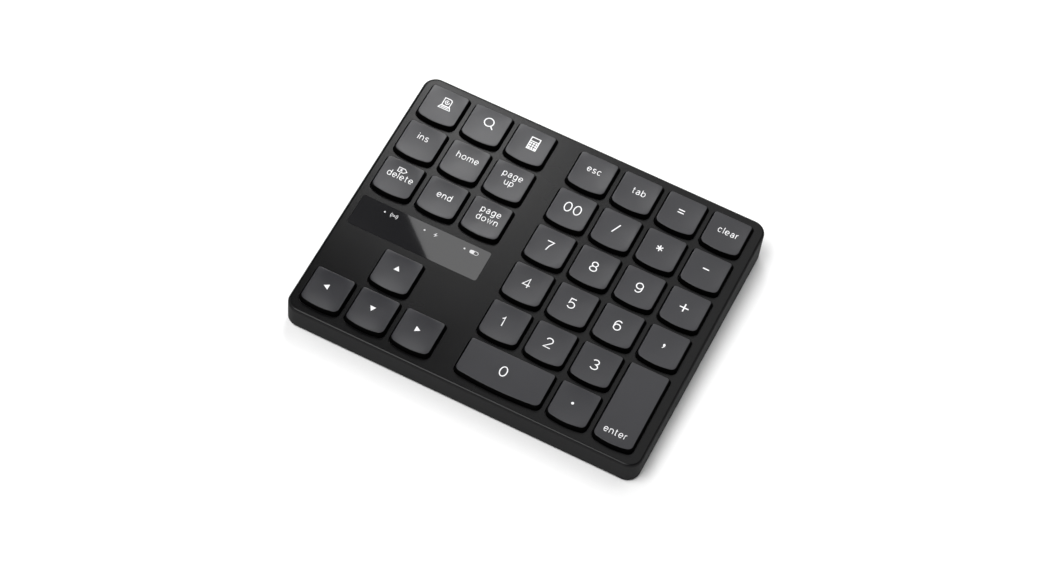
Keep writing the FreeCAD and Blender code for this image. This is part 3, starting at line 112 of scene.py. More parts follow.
press = joint_axis("press_five")
TILT = math.atan2(press.y, -press.z)


def deck_plane():
    """The middle of the indicator window's top face, which lies in the deck plane, in metres."""
    low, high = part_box("indicator_window")
    thick = (high.z - low.z - (high.y - low.y) * math.sin(TILT)) / math.cos(TILT)
    middle_y = (low.y + high.y - thick * math.sin(TILT)) / 2
    half_depth = (middle_y - low.y) / math.cos(TILT)
    return Vector(((low.x + high.x) / 2, middle_y, high.z - half_depth * math.sin(TILT)))


DECK = Matrix.Translation(deck_plane()) @ Matrix.Rotation(TILT, 4, "X")


def deck_at(x, y):
    """Deck frame with its origin above the row-frame point x, y, in metres."""
    height = DECK.translation.z + (y - DECK.translation.y) * math.tan(TILT)
    return Matrix.Translation((x, y, height)) @ Matrix.Rotation(TILT, 4, "X")


def key_frame_of(node):
    """Deck frame with its origin in the middle of a keycap, and the cap's foot size in millimetres."""
    low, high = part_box(node)
    middle_x = (low.x + high.x) / 2
    middle_y = (low.y + high.y) / 2 - CAP_SKIRT * MM * math.sin(TILT)
    width = (high.x - low.x) / MM
    depth = (high.y - low.y) / MM / math.cos(TILT)
    return deck_at(middle_x, middle_y), width, depth


# ---------------------------------------------------------------- materials


def new_material(name):
    material = bpy.data.materials.new(name)
    material.use_nodes = True
    nodes = material.node_tree.nodes
    return material, nodes, material.node_tree.links, nodes["Principled BSDF"]


def noise(nodes, links, scale, detail=3.0):
    coordinates = nodes.new("ShaderNodeTexCoord")
    texture = nodes.new("ShaderNodeTexNoise")
    texture.inputs["Scale"].default_value = scale
    texture.inputs["Detail"].default_value = detail
    links.new(coordinates.outputs["Object"], texture.inputs["Vector"])
    return texture


def ramp(nodes, links, source, low, high):
    """Two colours blended by a texture."""
    blend = nodes.new("ShaderNodeValToRGB")
    for element, position, colour in zip(blend.color_ramp.elements, COLOUR_SPAN, (low, high)):
        element.position = position
        element.color = (*colour, 1)
    links.new(source, blend.inputs["Fac"])
    return blend.outputs["Color"]


def spread(nodes, links, source, low, high):
    """A texture's 0 to 1 stretched to another range."""
    step = nodes.new("ShaderNodeMapRange")
    step.inputs["From Min"].default_value = VALUE_SPAN[0]
    step.inputs["From Max"].default_value = VALUE_SPAN[1]
    step.inputs["To Min"].default_value = low
    step.inputs["To Max"].default_value = high
    links.new(source, step.inputs["Value"])
    return step.outputs["Result"]


def bump(nodes, links, source, bsdf, distance):
    relief = nodes.new("ShaderNodeBump")
    relief.inputs["Distance"].default_value = distance
    links.new(source, relief.inputs["Height"])
    links.new(relief.outputs["Normal"], bsdf.inputs["Normal"])


CLOUD_SCALE = 45.0


def moulded_plastic(name, dark, light, rough, grain=2400.0, depth=0.000012, specular=0.5):
    """Moulded plastic with a fine spark-eroded grain and faint cloudiness."""
    material, nodes, links, bsdf = new_material(name)
    cloud = noise(nodes, links, CLOUD_SCALE, 2.0).outputs["Fac"]
    links.new(ramp(nodes, links, cloud, dark, light), bsdf.inputs["Base Color"])
    links.new(spread(nodes, links, cloud, rough - 0.03, rough + 0.03), bsdf.inputs["Roughness"])
    fine = noise(nodes, links, grain, 2.0)
    bump(nodes, links, fine.outputs["Fac"], bsdf, depth)
    bsdf.inputs["Specular IOR Level"].default_value = specular
    return material


def satin_top_plastic_with_painted_sides(name, top, side, grain, depth, specular):
    """Plastic moulded satin on top and matt on upright faces, with the upright faces coloured lighter than
    the top: painted light on the walls, which are one plastic with the top.

    top holds its darkest and lightest colour and its roughness; side, its colour and roughness.
    """
    top_dark, top_light, top_rough = top
    painted_side_colour, side_rough = side
    material, nodes, links, bsdf = new_material(name)
    cloud = noise(nodes, links, CLOUD_SCALE, 2.0).outputs["Fac"]
    coordinates = nodes.new("ShaderNodeTexCoord")
    split = nodes.new("ShaderNodeSeparateXYZ")
    links.new(coordinates.outputs["Normal"], split.inputs["Vector"])
    upward = nodes.new("ShaderNodeMapRange")
    upward.interpolation_type = "SMOOTHSTEP"
    upward.inputs["From Min"].default_value = 0.45
    upward.inputs["From Max"].default_value = 0.92
    links.new(split.outputs["Z"], upward.inputs["Value"])
    colour = nodes.new("ShaderNodeMix")
    colour.data_type = "RGBA"
    # The upright faces' lighter colour is painted light, not a colour of the plastic.
    colour.inputs["A"].default_value = (*painted_side_colour, 1)
    links.new(upward.outputs["Result"], colour.inputs["Factor"])
    links.new(ramp(nodes, links, cloud, top_dark, top_light), colour.inputs["B"])
    links.new(colour.outputs["Result"], bsdf.inputs["Base Color"])
    rough = nodes.new("ShaderNodeMix")
    rough.inputs["A"].default_value = side_rough
    links.new(upward.outputs["Result"], rough.inputs["Factor"])
    links.new(spread(nodes, links, cloud, top_rough - 0.02, top_rough + 0.02), rough.inputs["B"])
    links.new(rough.outputs["Result"], bsdf.inputs["Roughness"])
    fine = noise(nodes, links, grain, 2.0)
    bump(nodes, links, fine.outputs["Fac"], bsdf, depth)
    bsdf.inputs["Specular IOR Level"].default_value = specular
    return material


def smoked_window():
    """Polished dark acrylic with a very faint unevenness."""
    material, nodes, links, bsdf = new_material("smoked_window")
    cloud = noise(nodes, links, 30.0, 1.0).outputs["Fac"]
    tint = ramp(nodes, links, cloud, (0.010, 0.010, 0.011), (0.013, 0.013, 0.014))
    links.new(tint, bsdf.inputs["Base Color"])
    links.new(spread(nodes, links, cloud, 0.03, 0.05), bsdf.inputs["Roughness"])
    bsdf.inputs["Coat Weight"].default_value = 0.6
    bsdf.inputs["Coat Roughness"].default_value = 0.02
    return material


def metal(name, dark, light, rough, stretch=(1.0, 1.0, 1.0), scale=900.0):
    """Metal with fine rolling or drawing marks along one direction."""
    material, nodes, links, bsdf = new_material(name)
    coordinates = nodes.new("ShaderNodeTexCoord")
    mapping = nodes.new("ShaderNodeMapping")
    mapping.inputs["Scale"].default_value = stretch
    texture = nodes.new("ShaderNodeTexNoise")
    texture.inputs["Scale"].default_value = scale
    links.new(coordinates.outputs["Object"], mapping.inputs["Vector"])
    links.new(mapping.outputs["Vector"], texture.inputs["Vector"])
    marks = texture.outputs["Fac"]
    links.new(ramp(nodes, links, marks, dark, light), bsdf.inputs["Base Color"])
    links.new(spread(nodes, links, marks, rough, rough + 0.12), bsdf.inputs["Roughness"])
    bump(nodes, links, marks, bsdf, 0.000004)
    bsdf.inputs["Metallic"].default_value = 1.0
    return material


def printed_ink(name, dark, light, rough):
    """Opaque printing ink with a faint speckle."""
    material, nodes, links, bsdf = new_material(name)
    speckle = noise(nodes, links, 3000.0, 1.0).outputs["Fac"]
    links.new(ramp(nodes, links, speckle, dark, light), bsdf.inputs["Base Color"])
    links.new(spread(nodes, links, speckle, rough, rough + 0.1), bsdf.inputs["Roughness"])
    return material


def circuit_board():
    """Green solder mask over a faint copper pattern."""
    material, nodes, links, bsdf = new_material("circuit_board")
    coordinates = nodes.new("ShaderNodeTexCoord")
    tracks = nodes.new("ShaderNodeTexBrick")
    tracks.inputs["Scale"].default_value = 420.0
    tracks.inputs["Color1"].default_value = (0.01, 0.10, 0.04, 1)
    tracks.inputs["Color2"].default_value = (0.012, 0.13, 0.05, 1)
    tracks.inputs["Mortar"].default_value = (0.03, 0.20, 0.08, 1)
    links.new(coordinates.outputs["Object"], tracks.inputs["Vector"])
    links.new(tracks.outputs["Color"], bsdf.inputs["Base Color"])
    bsdf.inputs["Roughness"].default_value = 0.35
    return material


# The case's walls get a colour much lighter than its deck: painted light on the walls; the satin and matt
# roughness is the real finish.
CASE_PLASTIC_PAINTED_SIDES = satin_top_plastic_with_painted_sides(
    "case_plastic_painted_sides",
    top=((0.0026, 0.0026, 0.0028), (0.0034, 0.0034, 0.0036), 0.26),
    side=((0.016, 0.016, 0.0165), 0.75),
    grain=2400.0,
    depth=0.000004,
    specular=0.13,
)
BASE_PLASTIC = moulded_plastic(
    "base_plastic", (0.012, 0.012, 0.0125), (0.016, 0.016, 0.0165), 0.5, grain=1500.0, depth=0.00003
)
KEY_PLASTIC = moulded_plastic(
    "key_plastic", (0.0135, 0.0135, 0.0165), (0.016, 0.016, 0.0195), 0.33,
    grain=2600.0, depth=0.000005, specular=0.34,
)
# Near-black colour for the caps' upright faces: painted shade on the sides and in the gaps between keys;
# the caps are one plastic.
KEY_SIDE_PAINTED_SHADE = moulded_plastic(
    "key_side_painted_shade", (0.0004, 0.0004, 0.0004), (0.0008, 0.0008, 0.0008), 0.75,
    grain=2600.0, depth=0.000005, specular=0.04,
)
INNER_PLASTIC = moulded_plastic("inner_plastic", (0.02, 0.02, 0.02), (0.03, 0.03, 0.03), 0.55)
RECEIVER_PLASTIC = moulded_plastic("receiver_plastic", (0.012, 0.012, 0.012), (0.018, 0.018, 0.018), 0.3)
BLACK_RUBBER = moulded_plastic(
    "black_rubber", (0.014, 0.014, 0.014), (0.024, 0.024, 0.024), 0.75,
    grain=1200.0, depth=0.00004, specular=0.3,
)
DOME_RUBBER = moulded_plastic(
    "dome_rubber", (0.52, 0.53, 0.5), (0.6, 0.61, 0.58), 0.6, grain=800.0, depth=0.00002
)
POLYESTER = moulded_plastic(
    "polyester_film", (0.6, 0.64, 0.66), (0.68, 0.71, 0.73), 0.25, grain=300.0, depth=0.000004
)
CONTACT_PLASTIC = moulded_plastic("contact_plastic", (0.72, 0.72, 0.7), (0.8, 0.8, 0.78), 0.4)
FLEX_FILM = moulded_plastic(
    "flex_film", (0.4, 0.16, 0.02), (0.5, 0.22, 0.03), 0.3, grain=500.0, depth=0.00001
)
PLATE_STEEL = metal("plate_steel", (0.45, 0.46, 0.47), (0.6, 0.61, 0.62), 0.3, (1, 30, 30))
BRIGHT_STEEL = metal("bright_steel", (0.42, 0.42, 0.43), (0.58, 0.58, 0.59), 0.2, (1, 24, 24))
SCREW_STEEL = metal("screw_steel", (0.09, 0.09, 0.1), (0.16, 0.16, 0.17), 0.3)
CELL_FOIL = metal("cell_foil", (0.6, 0.62, 0.64), (0.7, 0.72, 0.74), 0.35, (1, 1, 1), 120.0)
WINDOW_ACRYLIC = smoked_window()
LEGEND_INK = printed_ink("legend_ink", (0.72, 0.72, 0.73), (0.84, 0.84, 0.85), 0.45)
WINDOW_INK = printed_ink("window_ink", (0.50, 0.50, 0.51), (0.62, 0.62, 0.63), 0.4)
BOARD_MASK = circuit_board()

NODE_MATERIALS = {
    "top_cover": CASE_PLASTIC_PAINTED_SIDES,
    "bottom_cover": BASE_PLASTIC,
    "key_frame": INNER_PLASTIC,
    "dome_sheet": DOME_RUBBER,
    "membrane_upper": POLYESTER,
    "membrane_spacer": POLYESTER,
    "membrane_lower": POLYESTER,
    "backplate": PLATE_STEEL,
    "indicator_window": WINDOW_ACRYLIC,
    "main_board": BOARD_MASK,
    "board_components": INNER_PLASTIC,
    "flex_cable": FLEX_FILM,
    "power_board": BOARD_MASK,
    "usb_c_port": BRIGHT_STEEL,
    "power_switch_body": INNER_PLASTIC,
    "power_switch_knob": RECEIVER_PLASTIC,
    "battery": CELL_FOIL,
    "rubber_feet": BLACK_RUBBER,
    "frame_screws": SCREW_STEEL,
    "case_screws": SCREW_STEEL,
    "zero_stabiliser": BRIGHT_STEEL,
    "enter_stabiliser": BRIGHT_STEEL,
    "receiver_cap": RECEIVER_PLASTIC,
    "receiver_shell": BRIGHT_STEEL,
    "receiver_insert": CONTACT_PLASTIC,
}


def paint(piece, material):
    piece.data.materials.clear()
    piece.data.materials.append(material)


for node_name, node_material in NODE_MATERIALS.items():
    paint(frame["nodes"][node_name], node_material)


# ---------------------------------------------------------------- meshes


def mesh_piece(name, sheet, place, material, body, smooth=True):
    """Turns a bmesh in millimetres of the deck frame into a piece that rides on a body."""
    data = bpy.data.meshes.new(name)
    bmesh.ops.recalc_face_normals(sheet, faces=sheet.faces)
    sheet.to_mesh(data)
    sheet.free()
    data.transform(place @ Matrix.Scale(MM, 4))
    data.polygons.foreach_set("use_smooth", [smooth] * len(data.polygons))
    piece = bpy.data.objects.new(name, data)
    bpy.context.scene.collection.objects.link(piece)
    paint(piece, material)
    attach(piece, body)
    return piece


def arc(centre_x, centre_y, radius, start, end, steps):
    """Points along an arc, angles in degrees, both ends included."""
    turns = [math.radians(start + (end - start) * step / steps) for step in range(steps + 1)]
    return [(centre_x + radius * math.cos(turn), centre_y + radius * math.sin(turn)) for turn in turns]


def circle(x, y, radius, sides):
    return arc(x, y, radius, 0, 360 - 360 / sides, sides - 1)


def between(start, end, steps):
    """Points strictly between two points of a straight side."""
    return [
        (start[0] + (end[0] - start[0]) * step / steps, start[1] + (end[1] - start[1]) * step / steps)
        for step in range(1, steps)
    ]


def key_outline(width, depth, rear_round, front_round):
    """A key's outline, anticlockwise: straight rear and sides, and a front edge that bows out."""
    half_x = width / 2
    half_y = depth / 2
    bow_radius = half_x**2 / (2 * CAP_BOW) + CAP_BOW / 2
    bow_y = bow_radius - half_y
    corner_y = bow_y - math.sqrt((bow_radius - front_round) ** 2 - (half_x - front_round) ** 2)
    turn = math.degrees(math.atan2(half_x - front_round, bow_y - corner_y))
    rear_right = arc(half_x - rear_round, half_y - rear_round, rear_round, 0, 90, 5)
    rear_left = arc(rear_round - half_x, half_y - rear_round, rear_round, 90, 180, 5)
    front_left = arc(front_round - half_x, corner_y, front_round, 180, 270 - turn, 6)
    front = arc(0, bow_y, bow_radius, 270 - turn, 270 + turn, 16)[1:-1]
    front_right = arc(half_x - front_round, corner_y, front_round, 270 + turn, 360, 6)
    return [
        *rear_right,
        *between(rear_right[-1], rear_left[0], 10),
        *rear_left,
        *between(rear_left[-1], front_left[0], 8),
        *front_left,
        *front,
        *front_right,
        *between(front_right[-1], rear_right[0], 8),
    ]


def cap_outline(width, depth, inset):
    """The cap's outline drawn in by a distance on every side."""
    rear_round = max(1.2 - inset * 0.5, 0.15)
    front_round = max(2.3 - inset * 0.5, 0.3)
    return key_outline(width - 2 * inset, depth - 2 * inset, rear_round, front_round)


def dish(x, y, width, depth, sink):
    """How far the cap's top lies under its rim: deepest in the middle, level with it at the edge."""
    across = abs(x) / (width / 2)
    along = abs(y) / (depth / 2)
    reach = min((across**3 + along**3) ** (1 / 3), 1.0)
    return sink * (1 - reach**2)


def ring(sheet, points, height):
    return [sheet.verts.new((x, y, height)) for x, y in points]


def bridge(sheet, lower, upper):
    count = len(lower)
    for step in range(count):
        following = (step + 1) % count
        sheet.faces.new((lower[step], lower[following], upper[following], upper[step]))


def keycap_mesh(width, depth, sink):
    """A hollow cap: tapered sides, rounded rim, dished top, flat underside and plunger stem."""
    sheet = bmesh.new()
    top_inset = CAP_TAPER / 2
    levels = [
        (CAP_WALL, CAP_PROUD - CAP_ROOF),
        (CAP_WALL, -CAP_SKIRT + CAP_INNER_EDGE / 2),
        (CAP_WALL - CAP_INNER_EDGE, -CAP_SKIRT),
        (CAP_FOOT_EDGE, -CAP_SKIRT),
        (0.0, -CAP_SKIRT + CAP_FOOT_EDGE),
    ]
    side_top = CAP_PROUD - CAP_EDGE
    for step in range(1, 5):
        levels.append((top_inset * step / 4, -CAP_SKIRT + (side_top + CAP_SKIRT) * step / 4))
    for step in range(1, 6):
        turn = math.radians(90 * step / 5)
        levels.append((top_inset + CAP_EDGE * (1 - math.cos(turn)), side_top + CAP_EDGE * math.sin(turn)))
    rings = [ring(sheet, cap_outline(width, depth, inset), height) for inset, height in levels]
    for lower, upper in zip(rings, rings[1:]):
        bridge(sheet, lower, upper)
    rim_inset = top_inset + CAP_EDGE
    rim = cap_outline(width, depth, rim_inset)
    rim_width = width - 2 * rim_inset
    rim_depth = depth - 2 * rim_inset
    last = rings[-1]
    for share in DISH_RINGS:
        points = [(x * share, y * share) for x, y in rim]
        inner = [
            sheet.verts.new((x, y, CAP_PROUD - dish(x, y, rim_width, rim_depth, sink)))
            for x, y in points
        ]
        bridge(sheet, last, inner)
        last = inner
    middle = sheet.verts.new((0, 0, CAP_PROUD - dish(0, 0, rim_width, rim_depth, sink)))
    for step, corner in enumerate(last):
        sheet.faces.new((corner, last[(step + 1) % len(last)], middle))
    sheet.faces.new(rings[0])
    stem_outline = circle(0, 0, STEM_RADIUS, STEM_SIDES)
    stem_top = ring(sheet, stem_outline, CAP_PROUD - CAP_ROOF + STEM_BITE)
    stem_end = ring(sheet, stem_outline, -STEM_END)
    bridge(sheet, stem_top, stem_end)
    sheet.faces.new(stem_top)
    sheet.faces.new(stem_end)
    return sheet, rim_width, rim_depth


# ---------------------------------------------------------------- legends

# Every letter and figure is drawn with a pen along strokes on a skeleton: x runs from -1 to 1
# over its width, and y from 0 on the base line to 1 at the top of a figure or of an x.


def oval(x, y, reach_x, reach_y, start, end):
    """Points along part of an ellipse, angles in degrees, turning either way."""
    steps = max(4, round(abs(end - start) / 18))
    turns = [math.radians(start + (end - start) * step / steps) for step in range(steps + 1)]
    return [(x + reach_x * math.cos(turn), y + reach_y * math.sin(turn)) for turn in turns]


ROUND = oval(0, 0.5, 1, 0.5, 90, 450)
ASCENDER = 1.45
DESCENDER = -0.45
ARCH = [(-1, 0.45), *oval(0, 0.52, 1, 0.48, 165, 0), (1, 0)]

# Each sign: half its width against that of an o, and its strokes.
GLYPHS = {
    "0": (0.86, [ROUND]),
    "1": (0.60, [[(-0.75, 0.76), (-0.15, 0.83), (0.25, 1), (0.25, 0)]]),
    "2": (0.88, [[*oval(0, 0.72, 0.93, 0.28, 165, -35), (-1, 0), (1, 0)]]),
    "3": (0.88, [[*oval(-0.05, 0.76, 0.85, 0.24, 155, -90), *oval(-0.05, 0.26, 1, 0.26, 90, -155)]]),
    "4": (0.94, [[(0.42, 0), (0.42, 1), (-1, 0.27), (1, 0.27)]]),
    "5": (0.88, [[(0.8, 1), (-0.65, 1), (-0.85, 0.48), *oval(0, 0.32, 0.97, 0.32, 135, -150)]]),
    "6": (0.88, [oval(0, 0.31, 0.95, 0.31, 90, 450), [*oval(0.05, 0.6, 1, 0.4, 45, 180), (-0.95, 0.31)]]),
    "7": (0.86, [[(-1, 1), (1, 1), (0.1, 0.5), (-0.3, 0)]]),
    "8": (0.88, [oval(0, 0.76, 0.8, 0.24, 90, 450), oval(0, 0.26, 0.98, 0.26, 90, 450)]),
    "9": (0.88, [oval(0, 0.69, 0.95, 0.31, 90, 450), [*oval(-0.05, 0.4, 1, 0.4, 225, 360), (0.95, 0.69)]]),
    "a": (0.86, [[*oval(0, 0.62, 0.85, 0.38, 155, 0), (0.85, 0)],
                 [(0.85, 0.58), (0, 0.56), *oval(-0.1, 0.28, 0.85, 0.28, 90, 290), (0.85, 0.3)]]),
    "b": (0.92, [[(-1, ASCENDER), (-1, 0)], ROUND]),
    "c": (0.88, [oval(0, 0.5, 1, 0.5, 42, 318)]),
    "d": (0.92, [[(1, ASCENDER), (1, 0)], ROUND]),
    "e": (0.92, [[(-1, 0.5), (1, 0.5), *oval(0, 0.5, 1, 0.5, 0, 318)]]),
    "g": (0.92, [ROUND, [(1, 1), (1, -0.1), *oval(0, -0.12, 1, -DESCENDER - 0.1, -18, -150)]]),
    "h": (0.86, [[(-1, ASCENDER), (-1, 0)], ARCH]),
    "i": (0.0, [[(0, 1), (0, 0)], [(0, ASCENDER), (0, ASCENDER - 0.2)]]),
    "l": (0.0, [[(0, ASCENDER), (0, 0)]]),
    "m": (1.45, [[(-1, 1), (-1, 0)],
                 [(-1, 0.45), *oval(-0.5, 0.55, 0.5, 0.45, 165, 0), (0, 0)],
                 [(0, 0.45), *oval(0.5, 0.55, 0.5, 0.45, 165, 0), (1, 0)]]),
    "n": (0.86, [[(-1, 1), (-1, 0)], ARCH]),
    "o": (1.0, [ROUND]),
    "p": (0.92, [[(-1, 1), (-1, DESCENDER)], ROUND]),
    "r": (0.50, [[(-1, 1), (-1, 0)], [(-1, 0.45), *oval(0.5, 0.5, 1.5, 0.5, 165, 80)]]),
    "s": (0.80, [[*oval(0, 0.75, 0.9, 0.25, 25, 270), *oval(0, 0.25, 0.95, 0.25, 90, -155)]]),
    "t": (0.50, [[(-0.3, 1.35), (-0.3, 0.25), *oval(0.5, 0.25, 0.8, 0.25, 195, 285)], [(-1.1, 1), (1, 1)]]),
    "u": (0.86, [[(-x, 1 - y) for x, y in ARCH], [(1, 1), (1, 0)]]),
    "w": (1.25, [[(-1, 1), (-0.5, 0), (0, 1), (0.5, 0), (1, 1)]]),
}

FIGURE = {"tall": 4.6, "half": 1.6, "pen": 0.43, "gap": 0.78}
WORD = {"tall": 2.2, "half": 0.78, "pen": 0.285, "gap": 0.53}


class Ink:
    """Flat printed shapes gathered in one plane, in millimetres."""

    def __init__(self):
        self.sheet = bmesh.new()

    def polygon(self, points):
        self.sheet.faces.new([self.sheet.verts.new((x, y, 0)) for x, y in points])

    def disc(self, x, y, radius, sides=20):
        self.polygon(circle(x, y, radius, sides))

    def stroke(self, points, pen):
        """A band of even width along a line; it closes up when the line ends where it starts."""
        line = [Vector(point) for point in points]
        kept = [line[0]]
        for point in line[1:]:
            if (point - kept[-1]).length > pen / 20:
                kept.append(point)
        closed = len(kept) > 3 and (kept[0] - kept[-1]).length < pen / 4
        if closed:
            kept.pop()
        count = len(kept)
        sides = ([], [])
        for step, point in enumerate(kept):
            before = kept[step - 1] if closed or step else point
            after = kept[(step + 1) % count] if closed or step < count - 1 else point
            arriving = (point - before).normalized()
            leaving = (after - point).normalized()
            along = (arriving + leaving).normalized()
            bend = max(along.dot(arriving if arriving.length else leaving), 0.6)
            out = Vector((-along.y, along.x)) * pen / 2 / bend
            sides[0].append(self.sheet.verts.new((*(point + out), 0)))
            sides[1].append(self.sheet.verts.new((*(point - out), 0)))
        for step in range(count if closed else count - 1):
            following = (step + 1) % count
            corners = (sides[0][step], sides[0][following], sides[1][following], sides[1][step])
            self.sheet.faces.new(corners)

    def text(self, words, x, y, hand):
        """Letters or figures; x, y is the middle of the line between base line and top of an x."""
        pen, half, gap = hand["pen"], hand["half"], hand["gap"]
        tall = hand["tall"] - pen
        widths = [2 * GLYPHS[letter][0] * half + pen for letter in words]
        left = x - (sum(widths) + gap * (len(words) - 1)) / 2
        for letter, width in zip(words, widths):
            share, strokes = GLYPHS[letter]
            middle = left + width / 2
            for line in strokes:
                self.stroke([(middle + a * share * half, y + (b - 0.5) * tall) for a, b in line], pen)
            left += width + gap


def print_on(ink, name, place, surface, material, body):
    """Lays printed shapes on a surface, whose height at x, y is given, as a thin solid film."""
    sheet = ink.sheet
    bmesh.ops.triangulate(sheet, faces=sheet.faces)
    grown = bmesh.ops.extrude_face_region(sheet, geom=sheet.faces[:])
    raised = {item for item in grown["geom"] if isinstance(item, bmesh.types.BMVert)}
    for vertex in sheet.verts:
        lift = INK_HEIGHT if vertex in raised else -INK_HEIGHT
        vertex.co.z = surface(vertex.co.x, vertex.co.y) + lift
    return mesh_piece(name, sheet, place, material, body, smooth=False)


def words_at(*lines):
    """A legend of words, each with its own place."""

    def draw(ink):
        for words, x, y in lines:
            ink.text(words, x, y, WORD)

    return draw


def figure(words, x, y):
    return lambda ink: ink.text(words, x, y, FIGURE)


def computer_icon(ink):
    """A sheet of paper with a round mark, standing on a keyboard."""
    sheet_of_paper = [(-0.9, 0.7), (-0.9, 4.3), (1.7, 4.3), (2.3, 3.7), (2.3, 0.7), (-0.9, 0.7)]
    ink.stroke(sheet_of_paper, 0.36)
    ink.stroke(oval(0.7, 2.5, 0.85, 0.85, 60, 380), 0.32)
    ink.disc(0.7, 2.5, 0.34, 12)
    ink.stroke([(-1.1, 0.55), (-1.75, -0.75), (3.25, -0.75), (2.6, 0.55), (-1.1, 0.55)], 0.36)
    ink.stroke([(-0.9, -0.1), (2.4, -0.1)], 0.34)


def search_icon(ink):
    ink.stroke(oval(0.2, 2.2, 1.9, 1.9, 0, 360), 0.46)
    ink.stroke([(1.5, 0.8), (2.75, -0.55)], 0.5)


def calculator_icon(ink):
    """A pocket calculator: a body with a display bar and nine printed keys."""
    left, right, foot, head = -0.95, 2.75, -1.3, 4.3
    ink.stroke([(left, foot), (left, head), (right, head), (right, foot), (left, foot)], 0.42)
    ink.polygon([(left, 2.35), (right, 2.35), (right, 2.75), (left, 2.75)])
    for line in range(3):
        for place in range(3):
            x = left + 0.38 + place * 1.1
            y = foot + 0.36 + line * 1.1
            ink.polygon([(x, y), (x + 0.8, y), (x + 0.8, y + 0.74), (x, y + 0.74)])


def delete_key(ink):
    """The word, under a forward-delete tag with a cross in it."""
    ink.text("delete", 0.5, 0.8, WORD)
    ink.stroke([(-1.7, 3.0), (0.8, 3.0), (1.9, 3.95), (0.8, 4.9), (-1.7, 4.9), (-1.7, 3.0)], 0.3)
    ink.stroke([(-0.9, 3.5), (0.0, 4.4)], 0.3)
    ink.stroke([(-0.9, 4.4), (0.0, 3.5)], 0.3)


def arrow(turns, x, y):
    """A solid triangle that points right, turned left by a number of quarter turns."""

    def draw(ink):
        corners = [(1.25, 0), (-0.85, 1.2), (-0.85, -1.2)]
        for _ in range(turns):
            corners = [(-b, a) for a, b in corners]
        ink.polygon([(a + x, b + y) for a, b in corners])

    return draw


def strokes(*lines, pen=0.5):
    """A sign made of straight strokes."""

    def draw(ink):
        for line in lines:
            ink.stroke(line, pen)

    return draw


def star(x, y, reach):
    """Six short strokes that meet in a point."""
    turns = [math.radians(angle) for angle in (90, 30, 150)]
    tips = [(reach * math.cos(turn), reach * math.sin(turn)) for turn in turns]
    return strokes(*([(x - a, y - b), (x + a, y + b)] for a, b in tips), pen=0.45)


def comma_mark(ink):
    ink.disc(-0.2, 1.3, 0.5)
    ink.polygon([(-0.65, 1.1), (0.29, 1.3), (0.15, 0.45), (-0.5, -0.25), (-0.7, -0.05), (-0.25, 0.5)])


LEGENDS = {
    "computer": computer_icon,
    "search": search_icon,
    "calculator": calculator_icon,
    "insert": words_at(("ins", 0.1, 2.1)),
    "home": words_at(("home", 0.5, 1.9)),
    "page_up": words_at(("page", 0.5, 3.1), ("up", 0.5, -0.5)),
    "delete": delete_key,
    "end": words_at(("end", 0.5, 1.1)),
    "page_down": words_at(("page", 0.5, 3.3), ("down", 0.6, -0.5)),
    "up": arrow(1, -0.3, 1.9),
    "left": arrow(2, -1.0, 1.4),
    "down": arrow(3, -0.5, 1.1),
    "right": arrow(0, -0.5, 1.1),
    "escape": words_at(("esc", 0.1, 1.6)),
    "tab": words_at(("tab", 0.6, 0.9)),
    "equals": strokes([(-1.7, 1.75), (0.9, 1.75)], [(-1.7, 0.5), (0.9, 0.5)], pen=0.46),
    "clear": words_at(("clear", 0.6, 0.8)),
    "double_zero": figure("00", 0.3, 1.1),
    "divide": strokes([(-1.2, -1.0), (0.8, 3.2)], pen=0.46),
    "multiply": star(-0.7, 1.1, 1.4),
    "minus": strokes([(-1.5, 1.1), (1.1, 1.1)]),
    "seven": figure("7", -0.4, 0.6),
    "eight": figure("8", -0.2, 0.6),
    "nine": figure("9", -0.2, 0.4),
    "plus": strokes([(-2.2, 0.6), (1.4, 0.6)], [(-0.4, -1.2), (-0.4, 2.4)]),
    "four": figure("4", -0.4, 0.9),
    "five": figure("5", -0.6, 0.9),
    "six": figure("6", -0.2, 0.6),
    "comma": comma_mark,
    "one": figure("1", -0.9, 0.6),
    "two": figure("2", -0.7, 0.4),
    "three": figure("3", -0.4, 0.3),
    "enter": words_at(("enter", -0.4, -12.7)),
    "zero": figure("0", -0.6, 0.3),
    "point": lambda ink: ink.disc(-0.7, 0.6, 0.55),
}


def build_key(name, draw):
    node = f"key_{name}"
    place, width, depth = key_frame_of(node)
    is_long = max(width, depth) > 1.5 * KEY_PITCH
    sink = 0.0 if is_long else DISH_SINK
    sheet, rim_width, rim_depth = keycap_mesh(width, depth, sink)
    cap = mesh_piece(f"cap_{name}", sheet, place, KEY_PLASTIC, node)
    # Faces that don't face up get the near-black painted shade material.
    cap.data.materials.append(KEY_SIDE_PAINTED_SHADE)
    for face in cap.data.polygons:
        face.material_index = 0 if face.normal.z > TOP_FACING else 1
    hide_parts(node)
    ink = Ink()
    draw(ink)

    def top_height(x, y):
        return CAP_PROUD - dish(x, y, rim_width, rim_depth, sink)

    print_on(ink, f"legend_{name}", place, top_height, LEGEND_INK, node)


for key_name, key_legend in LEGENDS.items():
    build_key(key_name, key_legend)


# ---------------------------------------------------------------- rubber domes

# A dome's skin, from its root outside, over the crown, to its root inside: radius, height.
DOME_OUTSIDE = [(4.5, -SHEET_TOP), (4.48, -7.3), (4.1, -6.98), (3.58, -6.8), (3.2, -6.3), (2.75, -5.85)]
DOME_CROWN = [(2.58, -5.6), (2.58, -5.15), (2.4, -4.97), (1.5, -4.97)]
DOME_INSIDE = [(1.3, -5.75), (2.0, -5.9), (2.55, -6.6), (3.05, -7.05), (3.7, -7.3), (4.0, -SHEET_TOP)]


